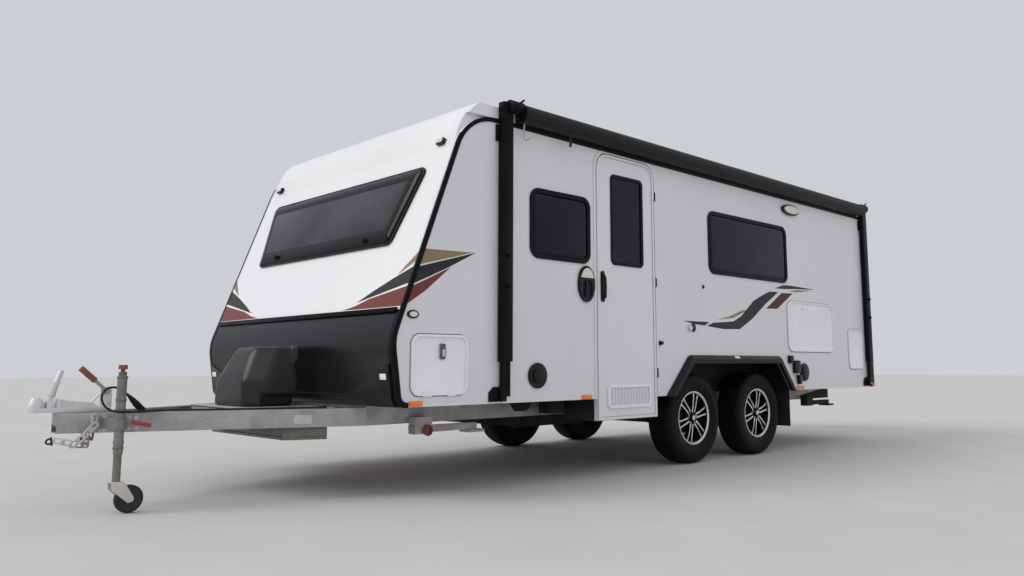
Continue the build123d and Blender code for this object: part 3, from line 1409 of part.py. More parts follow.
def build_tank():
    """Water tank between the rails, with the domed drain outlet and the service box beside it."""
    tank_half = RAIL_OUT - 240
    front, rear = TANK
    tank = block(-tank_half, tank_half, front, rear, RAIL_FOOT_Z - TANK_DEEP, RAIL_TOP_Z)
    drain = revolve(Plane.XZ * outline(
        (0, SILL_Z),
        (DRAIN_R, SILL_Z),
        (DRAIN_R, SILL_Z - 26),
        (46, SILL_Z - 78),
        (0, SILL_Z - 78),
    ))
    box = block(DRAIN_X - 60, DRAIN_X + 60, front - 140, front, SILL_Z - 105, SILL_Z)
    return collect([tank, Pos(DRAIN_X, DRAIN_Y, 0) * drain, box])


# Safety chains and electrical lead

def chain_link():
    """Link of square wire about the origin, long along X, lying in the XY plane."""
    def loop(half_long, half_wide, cut):
        return outline(
            (half_long, cut - half_wide), (half_long, half_wide - cut), (half_long - cut, half_wide),
            (cut - half_long, half_wide), (-half_long, half_wide - cut), (-half_long, cut - half_wide),
            (cut - half_long, -half_wide), (half_long - cut, -half_wide),
        )

    half_long = CHAIN_PITCH / 2
    ring = loop(half_long + CHAIN_WIRE, CHAIN_HALF, 10) - loop(half_long, CHAIN_HALF - CHAIN_WIRE, 5)
    return Pos(0, 0, -CHAIN_WIRE / 2) * extrude(ring, amount=CHAIN_WIRE)


def hang_chain(points):
    """Links set end to end along straight runs between points, each turned a quarter from the last."""
    path = [Vector(*point) for point in points]
    links = []
    step = CHAIN_PITCH - 0.6
    run = 0
    reach = step / 2
    for start, end in zip(path[:-1], path[1:]):
        span = (end - start).length
        along = (end - start).normalized()
        while reach <= run + span:
            flat = Vector(0, 0, 1).cross(along) if len(links) % 2 else Vector(1, 0, 0)
            normal = (flat - along * flat.dot(along)).normalized()
            place = Plane(origin=start + along * (reach - run), x_dir=along, z_dir=normal)
            links.append(place * chain_link())
            reach += step
        run += span
    chain = links[0]
    for link in links[1:]:
        chain += link
    return chain


def build_safety_chains():
    """Two chains that hang from pins on the drawbar rails and are gathered below the tip."""
    top = (CHAIN_X, CHAIN_PIN_Y, CHAIN_PIN_Z + CHAIN_PIN_R + 1)
    left = (
        top,
        (CHAIN_X + 4, CHAIN_PIN_Y - 4, CHAIN_PIN_Z - 56),
        (CHAIN_X - 2, CHAIN_PIN_Y - 46, CHAIN_PIN_Z - 108),
        (CHAIN_X - 40, CHAIN_PIN_Y - 84, CHAIN_PIN_Z - 150),
        (CHAIN_X - 100, CHAIN_PIN_Y - 152, CHAIN_PIN_Z - 132),
    )
    right = (
        (-top[0], top[1], top[2]),
        (-CHAIN_X - 12, CHAIN_PIN_Y + 12, CHAIN_PIN_Z - 60),
        (-CHAIN_X - 4, CHAIN_PIN_Y + 50, CHAIN_PIN_Z - 124),
        (-CHAIN_X + 60, CHAIN_PIN_Y + 40, CHAIN_PIN_Z - 176),
        (-CHAIN_X + 110, CHAIN_PIN_Y - 30, CHAIN_PIN_Z - 170),
    )
    return collect([hang_chain(left), hang_chain(right)])


def rail_middle(y):
    return rail_face(y) - DRAW_WIDE * DRAW_SKEW / 2


def lead_route():
    """Points of the lead: along the rail top, then one turn up and round behind the jockey tube."""
    return [
        (rail_middle(LEAD_CLIP_Y), LEAD_CLIP_Y, LEAD_Z),
        (rail_middle(-370) - 5, -370, LEAD_Z),
        (rail_middle(-700) + 4, -700, LEAD_Z),
        (JOCKEY_X + 6, JOCKEY_Y + 262, LEAD_Z + 2),
        (JOCKEY_X + 26, JOCKEY_Y + 140, LEAD_Z + 1),
        (JOCKEY_X + 38, JOCKEY_Y + 42, LEAD_Z),
        (JOCKEY_X + 38, JOCKEY_Y - 22, LEAD_Z + 2),
        (JOCKEY_X + 34, JOCKEY_Y - 74, LEAD_Z + 16),
        (JOCKEY_X + 18, JOCKEY_Y - 104, LEAD_Z + 56),
        (JOCKEY_X - 8, JOCKEY_Y - 98, LEAD_Z + 104),
        (JOCKEY_X - 30, JOCKEY_Y - 62, LEAD_Z + 136),
        (JOCKEY_X - 40, JOCKEY_Y - 10, LEAD_Z + 136),
        (JOCKEY_X - 43, JOCKEY_Y + 34, LEAD_Z + 108),
        (JOCKEY_X - 45, JOCKEY_Y + 66, LEAD_Z + 74),
    ]


def build_lead():
    """Round cable along the route, its corners rounded by arcs as large as the runs allow."""
    points = [Vector(*point) for point in lead_route()]
    radii = []
    for before, here, after in zip(points[:-2], points[1:-1], points[2:]):
        turn = math.radians((here - before).get_angle(after - here))
        shorter = min((here - before).length, (after - here).length)
        radii.append(0.45 * shorter / math.tan(turn / 2))
    print("lead radii", [round(radius) for radius in radii])
    path = FilletPolyline(*points, radius=radii)
    print("lead length", round(path.length))
    start = Plane(origin=path @ 0, z_dir=path % 0)
    cable = sweep(start * Circle(LEAD_R), path=path)
    print("lead volume ratio", round(cable.volume / (math.pi * LEAD_R**2 * path.length), 4))
    return cable


def build_lead_ends():
    """Clip on the rail that the lead comes out of, and the plug at its other end with its cap."""
    route = [Vector(*point) for point in lead_route()]
    back = (route[0] - route[1]).normalized()
    gland_end = route[0] + back * 30
    clip = rod(route[0], gland_end, LEAD_R + 1)
    clip += block(
        gland_end.X - LEAD_CLIP_HALF, gland_end.X + LEAD_CLIP_HALF, gland_end.Y - LAP, gland_end.Y + 14,
        DRAW_TOP_Z, LEAD_Z + LEAD_CLIP_HALF)
    along = (route[-1] - route[-2]).normalized()
    body_end = route[-1] + along * LEAD_PLUG_LONG
    plug = rod(route[-1], route[-1] + along * 22, LEAD_PLUG_R * 0.6)
    plug += rod(route[-1] + along * 22, body_end, LEAD_PLUG_R)
    return collect([clip, plug])


# Nodes

def wheel_nodes():
    nodes = {}
    for place, station in AXLE_STATIONS:
        for name, side in (("left", 1), ("right", -1)):
            nodes[f"tyre_{place}_{name}"] = place_wheel(tyre(), station, side)
            nodes[f"rim_{place}_{name}"] = place_wheel(rim(), station, side)
    return nodes


def steady_nodes():
    nodes = {}
    for place, station in STEADY_STATIONS:
        for name, side in (("left", 1), ("right", -1)):
            nodes[f"steady_{place}_{name}"] = steady_leg(station, side)
    return nodes


def build_all():
    nodes = {
        "body_left": build_body_left(),
        "body_right": build_body_right(),
        "body_front": build_body_front(),
        "front_shield": build_front_shield(),
        "body_rear": build_body_rear(),
        "roof": build_roof(),
        "floor": build_floor(),
        "wheel_boxes": build_wheel_boxes(),
        "step_well": build_step_well(),
        "edge_trim": build_edge_trim(),
        "window_frames": build_window_frames(),
        "window_panes": build_window_panes(),
        "entry_door": build_entry_door(),
        "door_trim": build_door_trim(),
        "door_glass": build_door_glass(),
        "front_lid": build_front_lid(),
        "heater_lid": build_heater_lid(),
        "rear_lid": build_rear_lid(),
        "front_lid_right": other_side(build_front_lid()),
        "wheel_arches": build_wheel_arches(),
        "mud_flaps": build_mud_flaps(),
        "chassis": build_chassis(),
        "drawbar": build_drawbar(),
        "axles": build_axles(),
        "coupling": build_coupling(),
        "coupling_handle": build_coupling_handle(),
        "handbrake": build_handbrake(),
        "jockey_tube": build_jockey_tube(),
        "jockey_crank": build_jockey_crank(),
        "jockey_leg": build_jockey_leg(),
        "jockey_fork": build_jockey_fork(),
        "jockey_wheel": build_jockey_wheel(),
        "awning_roll": build_awning_roll(),
        "awning_arms": build_awning_arms(),
        "gas_cover": build_gas_cover(),
        "side_fittings": build_side_fittings(),
        "lamp_lenses": build_lamp_lenses(),
        "markers": build_markers(),
        "rear_lamps": build_rear_lamps(),
        "roof_hatches": build_roof_hatches(),
        "tank": build_tank(),
        "safety_chains": build_safety_chains(),
        "lead": build_lead(),
        "lead_ends": build_lead_ends(),
    }
    nodes.update(wheel_nodes())
    nodes.update(steady_nodes())
    return nodes


def export(nodes):
    os.makedirs("parts", exist_ok=True)
    for name, shape in nodes.items():
        placed = Pos(0, NOSE_Y, 0) * shape
        export_step(placed, f"parts/{name}.step")
        print(name, len(placed.solids()), round(placed.volume / 1e9, 5))


export(build_all())
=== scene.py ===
"""Looks of a tandem-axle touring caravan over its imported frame. Metres, +X door side, -Y drawbar."""

import logging
import math
from collections.abc import Iterator
from contextlib import contextmanager
from dataclasses import dataclass
from enum import Enum

import bpy
from mathutils import Matrix, Vector


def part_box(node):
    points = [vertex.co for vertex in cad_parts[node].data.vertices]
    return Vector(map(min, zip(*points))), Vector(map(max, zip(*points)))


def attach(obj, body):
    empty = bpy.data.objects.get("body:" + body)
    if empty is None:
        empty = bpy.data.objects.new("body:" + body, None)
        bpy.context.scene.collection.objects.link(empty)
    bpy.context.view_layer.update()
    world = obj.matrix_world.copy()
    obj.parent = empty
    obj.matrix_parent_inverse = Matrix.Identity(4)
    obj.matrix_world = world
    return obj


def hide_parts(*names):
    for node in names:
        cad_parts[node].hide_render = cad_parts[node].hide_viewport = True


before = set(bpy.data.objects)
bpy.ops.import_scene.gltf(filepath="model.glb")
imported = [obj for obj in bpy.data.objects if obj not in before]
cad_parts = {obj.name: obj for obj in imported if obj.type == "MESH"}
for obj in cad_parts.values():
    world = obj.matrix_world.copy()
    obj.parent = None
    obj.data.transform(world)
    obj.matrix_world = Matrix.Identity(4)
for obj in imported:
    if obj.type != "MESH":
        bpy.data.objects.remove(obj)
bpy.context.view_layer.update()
LOG = logging.getLogger("caravan")

Piece = bpy.types.Object
Socket = bpy.types.NodeSocket
Colour = tuple[float, float, float]
Outline = list[tuple[float, float]]

NOSE_Y = -2.415
NOSE_Z = 0.950
SIDE_X = 1.230
FRONT_LEAN = 0.369
FRONT_NORMAL = Vector((0, -1, FRONT_LEAN)).normalized()
DOOR_WAY = Vector((1, 0, 0))
UP = Vector((0, 0, 1))
MIRROR = Matrix.Diagonal((-1.0, 1.0, 1.0, 1.0))
MERGE = 1e-5
REAR_SHADE_Y = 3.05
ROAD_DUST = (0.30, 0.275, 0.24)
ZINC_DUST = (0.36, 0.33, 0.29)


def from_nose(x: float, y: float, z: float) -> Vector:
    """Point whose y is measured back from the nose."""
    return Vector((x, y + NOSE_Y, z))


def on_side(y: float, z: float, out: float) -> Vector:
    """Point that stands out from the door side, y measured back from the nose."""
    return from_nose(SIDE_X + out, y, z)


def on_front(x: float, z: float, out: float) -> Vector:
    """Point that stands out from the leaning front wall."""
    return Vector((x, (z - NOSE_Z) * FRONT_LEAN + NOSE_Y, z)) + FRONT_NORMAL * out


class Body(Enum):
    """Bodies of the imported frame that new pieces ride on."""

    MAIN = "body"
    DOOR = "entry_door"
    LID = "front_lid"
    FAR_LID = "front_lid_right"


class Side(Enum):
    """The two sides of the caravan."""

    LEFT = 1
    RIGHT = -1


# Materials


class Wiring:
    """Adds nodes to one tree and sets or links their inputs."""

    def __init__(self, tree: bpy.types.NodeTree) -> None:
        """Take a tree."""
        self.tree = tree

    def feed(self, inlet: Socket, value: object) -> None:
        """Link a socket to an input, or set the input to a constant.

        Args:
            inlet: the input.
            value: a constant or a socket.
        """
        if isinstance(value, Socket):
            self.tree.links.new(value, inlet)
        else:
            inlet.default_value = value

    def add(self, kind: str, inputs: dict, **settings: object) -> bpy.types.Node:
        """Add a node.

        Args:
            kind: its type without the leading ShaderNode.
            inputs: constants or sockets by the input's name or number.
            settings: the node's own properties.

        Returns:
            The node.
        """
        node = self.tree.nodes.new(f"ShaderNode{kind}")
        for name, value in settings.items():
            setattr(node, name, value)
        for key, value in inputs.items():
            self.feed(node.inputs[key], value)
        return node

    def maths(self, kind: str, first: object, second: object) -> Socket:
        """Combine two numbers or sockets."""
        return self.add("Math", {0: first, 1: second}, operation=kind).outputs[0]

    def mix(self, mask: Socket, first: object, second: object) -> Socket:
        """Mix two colours or sockets: the first where the mask is 0, the second where it is 1."""
        ends = [part if isinstance(part, Socket) else (*part, 1.0) for part in (first, second)]
        return self.add("Mix", {"Factor": mask, 6: ends[0], 7: ends[1]}, data_type="RGBA").outputs[2]

    def spread(self, mask: Socket, low: float, high: float) -> Socket:
        """Map a mask from 0 and 1 to low and high."""
        return self.add("MapRange", {"Value": mask, "To Min": low, "To Max": high}).outputs["Result"]

    def stretch(self, value: Socket, low: float, high: float) -> Socket:
        """Stretch a value so that low gives 0 and high gives 1."""
        return self.add("MapRange", {"Value": value, "From Min": low, "From Max": high}).outputs["Result"]


class Effect(Wiring):
    """One shared effect: a node group that is fed with object coordinates."""

    def __init__(self, name: str, inputs: dict[str, float], outputs: tuple[str, ...]) -> None:
        """Make an empty group.

        Args:
            name: the group's name.
            inputs: float inputs with their first values.
            outputs: float outputs.
        """
        super().__init__(bpy.data.node_groups.new(name, "ShaderNodeTree"))
        face = self.tree.interface
        face.new_socket(name="Place", in_out="INPUT", socket_type="NodeSocketVector")
        for label, value in inputs.items():
            face.new_socket(name=label, in_out="INPUT", socket_type="NodeSocketFloat").default_value = value
        for label in outputs:
            face.new_socket(name=label, in_out="OUTPUT", socket_type="NodeSocketFloat")
        self.given = self.tree.nodes.new("NodeGroupInput").outputs
        self.wanted = self.tree.nodes.new("NodeGroupOutput").inputs
        self.place = self.given["Place"]

    def emit(self, label: str, value: Socket) -> None:
        """Send a value out of the group."""
        self.feed(self.wanted[label], value)

    def noise(self, place: Socket, scale: object, octaves: float) -> Socket:
        """Cloudy noise."""
        return self.add("TexNoise", {"Vector": place, "Scale": scale, "Detail": octaves}).outputs["Fac"]


def build_grain() -> None:
    """Fine and broad unevenness: Fine is a height, Broad a mask of slow variation."""
    grain = Effect("moulded_grain", {"Scale": 300.0, "Broad Scale": 1.5}, ("Fine", "Broad"))
    grain.emit("Fine", grain.noise(grain.place, grain.given["Scale"], 3.0))
    broad = grain.noise(grain.place, grain.given["Broad Scale"], 4.0)
    grain.emit("Broad", grain.stretch(broad, 0.3, 0.7))


def build_dust() -> None:
    """Road dust that is thickest near the ground."""
    dust = Effect("road_dust", {"Top": 0.9, "Amount": 0.5}, ("Mask",))
    height = dust.add("SeparateXYZ", {0: dust.place}).outputs["Z"]
    fade = dust.stretch(dust.maths("SUBTRACT", dust.given["Top"], height), 0.0, 0.7)
    patches = dust.stretch(dust.noise(dust.place, 5.0, 6.0), 0.35, 0.7)
    speck = dust.stretch(dust.noise(dust.place, 160.0, 2.0), 0.45, 0.75)
    both = dust.maths("MULTIPLY", fade, dust.maths("ADD", patches, speck))
    scaled = dust.maths("MULTIPLY", both, dust.given["Amount"])
    dust.emit("Mask", dust.maths("MAXIMUM", dust.maths("MINIMUM", scaled, 1.0), 0.0))


def build_weave() -> None:
    """Plain weave of coated cloth, as a height and a mask of thread shade."""
    weave = Effect("coated_weave", {"Threads": 900.0}, ("Height", "Shade"))
    split = weave.add("SeparateXYZ", {0: weave.place}).outputs
    turns = [weave.maths("MULTIPLY", split[axis], weave.given["Threads"]) for axis in ("Y", "Z")]
    weave.emit("Height", weave.maths("MULTIPLY", *(weave.maths("SINE", turn, 0.0) for turn in turns)))
    weave.emit("Shade", weave.stretch(weave.noise(weave.place, 18.0, 5.0), 0.3, 0.7))


def build_spangle() -> None:
    """Crystal patches of hot-dip zinc and the dull stains over them."""
    zinc = Effect("zinc_spangle", {"Scale": 90.0}, ("Crystal", "Stain"))
    cells = zinc.add("TexVoronoi", {"Vector": zinc.place, "Scale": zinc.given["Scale"]})
    zinc.emit("Crystal", zinc.add("SeparateColor", {0: cells.outputs["Color"]}).outputs["Red"])
    zinc.emit("Stain", zinc.stretch(zinc.noise(zinc.place, 9.0, 8.0), 0.35, 0.75))


def build_streaks() -> None:
    """Upright rain streaks on a wall."""
    rain = Effect("rain_streaks", {"Scale": 9.0}, ("Mask",))
    drawn = rain.add("Mapping", {"Vector": rain.place, "Scale": (1.0, 1.0, 0.06)}).outputs[0]
    rain.emit("Mask", rain.stretch(rain.noise(drawn, rain.given["Scale"], 5.0), 0.42, 0.8))


class Shader(Wiring):
    """One procedural material in object coordinates."""

    def __init__(self, name: str) -> None:
        """Make an empty material with a Principled shader.

        Args:
            name: the material's name.
        """
        self.material = bpy.data.materials.new(name)
        self.material.use_nodes = True
        super().__init__(self.material.node_tree)
        self.principled = self.tree.nodes["Principled BSDF"]
        self.place = self.add("TexCoord", {}).outputs["Object"]

    def put(self, **values: object) -> None:
        """Set or link the shader's own inputs, an underscore standing for a space."""
        for name, value in values.items():
            self.feed(self.principled.inputs[name.replace("_", " ")], value)

    def effect(self, name: str, **values: float) -> bpy.types.NodeOutputs:
        """Place a shared effect.

        Args:
            name: the node group's name.
            values: its inputs' values, an underscore standing for a space.

        Returns:
            Its outputs.
        """
        inputs = {label.replace("_", " "): value for label, value in values.items()}
        group = bpy.data.node_groups[name]
        return self.add("Group", {"Place": self.place, **inputs}, node_tree=group).outputs

    def bump(self, height: Socket, strength: float, depth: float) -> None:
        """Drive the normal from a height."""
        node = self.add("Bump", {"Strength": strength, "Distance": depth, "Height": height})
        self.put(Normal=node.outputs["Normal"])


@dataclass(frozen=True)
class Finish:
    """A named surface with a colour and a second shade of it."""

    name: str
    colour: Colour
    shade: Colour


@dataclass(frozen=True)
class Moulded(Finish):
    """Plastic, paint or gelcoat: broad variation, fine grain, gloss, rain streaks and dust."""

    roughness: float = 0.4
    vary: float = 0.1
    grain: float = 300.0
    bump: float = 0.15
    coat: float = 0.0
    dust: float = 0.0
    dust_top: float = 0.9
    metallic: float = 0.0
    streaks: float = 0.0
    specular: float = 0.5

    def make(self) -> bpy.types.Material:
        """Build the material.

        Returns:
            The material.
        """
        shader = Shader(self.name)
        grain = shader.effect("moulded_grain", Scale=self.grain)
        colour = shader.mix(grain["Broad"], self.colour, self.shade)
        if self.streaks:
            faded = shader.spread(shader.effect("rain_streaks")["Mask"], 0.0, self.streaks)
            colour = shader.mix(faded, colour, tuple(0.72 * part for part in self.colour))
        if self.dust:
            grime = shader.effect("road_dust", Amount=self.dust, Top=self.dust_top)
            colour = shader.mix(grime["Mask"], colour, ROAD_DUST)
        shader.bump(grain["Fine"], self.bump, 0.0006)
        rough = shader.spread(grain["Broad"], self.roughness, self.roughness + self.vary)
        shader.put(
            Base_Color=colour, Roughness=rough, Metallic=self.metallic, Specular_IOR_Level=self.specular,
            Coat_Weight=self.coat, Coat_Roughness=0.08,
        )
        return shader.material


@dataclass(frozen=True)
class Zinc(Finish):
    """Galvanised steel: crystal patches, dull stains and road dust."""

    stain: Colour
    scale: float = 160.0
    roughness: float = 0.42

    def make(self) -> bpy.types.Material:
        """Build the material.

        Returns:
            The material.
        """
        shader = Shader(self.name)
        zinc = shader.effect("zinc_spangle", Scale=self.scale)
        colour = shader.mix(zinc["Crystal"], self.colour, self.shade)
        colour = shader.mix(shader.spread(zinc["Stain"], 0.0, 0.35), colour, self.stain)
        grime = shader.effect("road_dust", Amount=0.15, Top=0.6)
        colour = shader.mix(grime["Mask"], colour, ZINC_DUST)
        rough = shader.spread(zinc["Stain"], self.roughness, 0.75)
        shader.put(Base_Color=colour, Roughness=rough, Metallic=0.55)
        shader.bump(shader.effect("moulded_grain", Scale=160.0)["Fine"], 0.25, 0.001)
        return shader.material


@dataclass(frozen=True)
class Glass(Finish):
    """Dark tinted acrylic with painted reflection: a shade lighter in broad cloudy patches."""

    reflection_scale: float = 2.2

    def make(self) -> bpy.types.Material:
        """Build the material.

        Returns:
            The material.
        """
        shader = Shader(self.name)
        grain = shader.effect("moulded_grain", Scale=40.0, Broad_Scale=self.reflection_scale)
        # Painted reflection: the broad mask lightens the glass towards its shade colour in cloudy patches.
        shader.put(
            Base_Color=shader.mix(grain["Broad"], self.colour, self.shade),
            Roughness=shader.spread(grain["Broad"], 0.05, 0.12), Specular_IOR_Level=0.22,
        )
        shader.bump(grain["Fine"], 0.03, 0.001)
        return shader.material


@dataclass(frozen=True)
class Woven(Finish):
    """Surface with a fine crossed pattern: cloth threads, or the prisms of a lamp lens."""

    threads: float = 900.0
    roughness: float = 0.55
    vary: float = 0.15
    bump: float = 0.3
    depth: float = 0.0008
    specular: float = 0.22
    coat: float = 0.0

    def make(self) -> bpy.types.Material:
        """Build the material.

        Returns:
            The material.
        """
        shader = Shader(self.name)
        weave = shader.effect("coated_weave", Threads=self.threads)
        shader.put(
            Base_Color=shader.mix(weave["Shade"], self.colour, self.shade),
            Roughness=shader.spread(weave["Shade"], self.roughness, self.roughness + self.vary),
            Specular_IOR_Level=self.specular, Coat_Weight=self.coat, Coat_Roughness=0.05,
        )
        shader.bump(weave["Height"], self.bump, self.depth)
        return shader.material


def lens(name: str, colour: Colour, shade: Colour, prisms: float = 700.0) -> Woven:
    """Moulded lamp lens with fine prisms behind a clear face."""
    return Woven(name, colour, shade, prisms, 0.12, 0.13, 0.35, 0.001, 0.5, 0.25)


def film(name: str, colour: Colour, shade: Colour, specular: float = 0.2) -> Moulded:
    """Coloured film on a wall."""
    return Moulded(name, colour, shade, 0.3, 0.08, 300.0, 0.05, specular=specular)


FINISHES = (
    Moulded("gelcoat", (0.80, 0.80, 0.81), (0.77, 0.77, 0.785), 0.2, 0.1, 25.0, 0.04, 0.3, 0.10, 1.0),
    Moulded("roof_skin", (0.78, 0.78, 0.79), (0.72, 0.72, 0.73), 0.32, 0.12, 25.0, 0.05, 0.1, streaks=0.1),
    # Side and rear walls: a darker, bluer white than the gelcoat front, as painted shade of the sides.
    Moulded(
        "wall_skin", (0.695, 0.692, 0.73), (0.665, 0.662, 0.70), 0.3, 0.1, 18.0, 0.05, 0.1, 0.10, 0.8,
        streaks=0.06,
    ),
    # Door: a darker, bluer white than the gelcoat front, as painted shade of the door side.
    Moulded(
        "door_skin", (0.725, 0.72, 0.768), (0.70, 0.695, 0.743), 0.26, 0.1, 18.0, 0.05, 0.15, 0.08, 0.8,
        streaks=0.04,
    ),
    Moulded(
        "lid_plastic", (0.83, 0.825, 0.865), (0.81, 0.805, 0.845), 0.3, 0.08, 500.0, 0.08, 0.1, 0.08, 0.9,
    ),
    # Grey of the door's seal line and of the painted shade lines round the door rim and the lids.
    Moulded("seal_grey", (0.30, 0.30, 0.31), (0.24, 0.24, 0.25), 0.5, 0.15, 500.0, 0.15),
    Moulded(
        "black_moulding", (0.0040, 0.0036, 0.0052), (0.008, 0.0075, 0.010), 0.22, 0.12, 500.0, 0.08,
        dust=0.012, specular=0.27,
    ),
    Moulded(
        "cover_plastic", (0.0085, 0.0075, 0.0105), (0.014, 0.0125, 0.016), 0.30, 0.14, 900.0, 0.14,
        dust=0.05, specular=0.34,
    ),
    Moulded(
        "powder_black", (0.0022, 0.0022, 0.0034), (0.005, 0.005, 0.0068), 0.34, 0.12, 1200.0, 0.15,
        dust=0.02, specular=0.12,
    ),
    Moulded(
        "window_rubber", (0.0025, 0.0025, 0.003), (0.005, 0.005, 0.006), 0.36, 0.15, 600.0, 0.12,
        specular=0.18,
    ),
    Moulded(
        "tyre_rubber", (0.0035, 0.0035, 0.0045), (0.0075, 0.0072, 0.0075), 0.45, 0.2, 260.0, 0.3,
        dust=0.022, dust_top=0.5, specular=0.12,
    ),
    Moulded(
        "soft_rubber", (0.009, 0.009, 0.010), (0.016, 0.0155, 0.015), 0.5, 0.2, 400.0, 0.2,
        dust=0.12, dust_top=0.5, specular=0.3,
    ),
    Moulded(
        "pocket_black", (0.0035, 0.0035, 0.0042), (0.008, 0.008, 0.009), 0.28, 0.15, 500.0, 0.1,
        specular=0.25,
    ),
    Moulded(
        "machined_alloy", (0.74, 0.71, 0.66), (0.66, 0.63, 0.58), 0.24, 0.12, 900.0, 0.12, 0.3,
        metallic=0.85,
    ),
    Moulded(
        "silver_paint", (0.68, 0.69, 0.70), (0.56, 0.57, 0.585), 0.34, 0.15, 350.0, 0.2, 0.1, 0.15, 0.8,
        metallic=0.2,
    ),
    Moulded(
        "cream_paint", (0.60, 0.58, 0.52), (0.46, 0.44, 0.38), 0.45, 0.2, 300.0, 0.25,
        dust=0.3, dust_top=0.4,
    ),
    Moulded("red_plastic", (0.42, 0.045, 0.04), (0.33, 0.035, 0.03), 0.4, 0.2, 300.0, 0.2),
    Moulded("rust_grip", (0.26, 0.085, 0.035), (0.16, 0.050, 0.024), 0.6, 0.2, 120.0, 0.5),
    film("tan_film", (0.285, 0.205, 0.115), (0.26, 0.185, 0.10)),
    film("charcoal_film", (0.034, 0.035, 0.034), (0.028, 0.029, 0.028), 0.15),
    film("brick_film", (0.19, 0.045, 0.038), (0.165, 0.038, 0.032)),
    film("maroon_film", (0.095, 0.018, 0.018), (0.08, 0.015, 0.015)),
    film("white_film", (0.80, 0.80, 0.80), (0.77, 0.77, 0.78), 0.5),
    Moulded("rim_gloss", (0.003, 0.003, 0.004), (0.006, 0.006, 0.008), 0.16, 0.1, 60.0, 0.02, specular=0.15),
    Moulded("lock_grey", (0.10, 0.10, 0.105), (0.075, 0.075, 0.080), 0.35, 0.1, 300.0, 0.1),
    Moulded("plywood", (0.40, 0.29, 0.17), (0.28, 0.19, 0.11), 0.6, 0.15, 90.0, 0.4, dust=0.3),
    Moulded(
        "underside_black", (0.008, 0.008, 0.008), (0.018, 0.017, 0.016), 0.6, 0.2, 120.0, 0.4,
        dust=0.2, dust_top=0.6, specular=0.25,
    ),
    Moulded("bright_steel", (0.62, 0.62, 0.63), (0.48, 0.48, 0.49), 0.25, 0.15, 500.0, 0.15, metallic=0.9),
    Moulded("oxide_red", (0.36, 0.05, 0.04), (0.25, 0.04, 0.035), 0.5, 0.2, 200.0, 0.3),
    Zinc("zinc", (0.47, 0.47, 0.465), (0.37, 0.37, 0.365), (0.27, 0.255, 0.23)),
    Zinc("worn_zinc", (0.25, 0.24, 0.215), (0.165, 0.155, 0.14), (0.12, 0.095, 0.07), 130.0, 0.5),
    Zinc("dull_zinc", (0.30, 0.295, 0.28), (0.21, 0.205, 0.195), (0.14, 0.125, 0.105), 140.0, 0.5),
    Zinc("bright_zinc", (0.66, 0.66, 0.67), (0.50, 0.50, 0.51), (0.42, 0.40, 0.37), 110.0, 0.34),
    Glass("tinted_acrylic", (0.003, 0.003, 0.005), (0.011, 0.011, 0.016)),
    # Front window: strong painted reflection of the sky in broad lighter patches.
    Glass("cloudy_acrylic", (0.003, 0.003, 0.005), (0.060, 0.058, 0.064), 1.6),
    lens("amber_lens", (0.92, 0.23, 0.004), (0.78, 0.17, 0.003)),
    lens("red_lens", (0.44, 0.006, 0.006), (0.30, 0.004, 0.004)),
    lens("cream_lens", (0.72, 0.70, 0.62), (0.62, 0.60, 0.52), 500.0),
    Woven("awning_vinyl", (0.0065, 0.0062, 0.006), (0.014, 0.0135, 0.013), 900.0, 0.42),
    Woven("webbing", (0.012, 0.012, 0.012), (0.024, 0.024, 0.024), 1800.0, 0.7),
)

NODE_FINISH = {
    "gelcoat": ("body_front",),
    "roof_skin": ("roof", "roof_hatches"),
    "wall_skin": ("body_left", "body_right", "body_rear"),
    "door_skin": ("entry_door",),
    "lid_plastic": ("front_lid", "front_lid_right", "heater_lid", "rear_lid"),
    "black_moulding": ("front_shield", "wheel_arches", "side_fittings"),
    "powder_black": ("edge_trim", "awning_arms"),
    "window_rubber": ("window_frames", "door_trim"),
    "tinted_acrylic": ("window_panes", "door_glass"),
    "plywood": ("floor",),
    "zinc": ("chassis", "drawbar", "steady_front_left", "steady_front_right"),
    "dull_zinc": ("jockey_tube",),
    "worn_zinc": ("jockey_leg",),
    "bright_zinc": ("safety_chains",),
    "underside_black": (
        "axles", "tank", "step_well", "wheel_boxes", "steady_rear_left", "steady_rear_right",
    ),
    "silver_paint": ("coupling", "coupling_handle"),
    "cream_paint": ("jockey_fork",),
    "rust_grip": ("handbrake", "jockey_crank"),
    "soft_rubber": ("jockey_wheel", "lead_ends", "lead", "mud_flaps"),
    "amber_lens": ("markers",),
    "red_lens": ("rear_lamps",),
    "cream_lens": ("lamp_lenses",),
    "cover_plastic": ("gas_cover",),
    "awning_vinyl": ("awning_roll",),
    "tyre_rubber": tuple(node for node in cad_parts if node.startswith("tyre")),
    "machined_alloy": tuple(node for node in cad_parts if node.startswith("rim")),
}


class Paintbox:
    """All finishes by name."""

    def __init__(self) -> None:
        """Build the shared effects and every material."""
        for build in (build_grain, build_dust, build_weave, build_spangle, build_streaks):
            build()
        self.materials = {finish.name: finish.make() for finish in FINISHES}

    def dress(self, piece: Piece, *names: str) -> None:
        """Give a piece its finishes, the first on every face.

        Args:
            piece: the piece.
            names: its finishes by name.
        """
        piece.data.materials.clear()
        for name in names:
            piece.data.materials.append(self.materials[name])

    def dress_frame(self) -> None:
        """Give every CAD node its finish."""
        for name, nodes in NODE_FINISH.items():
            for node in nodes:
                self.dress(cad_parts[node], name)


# Modelling moves


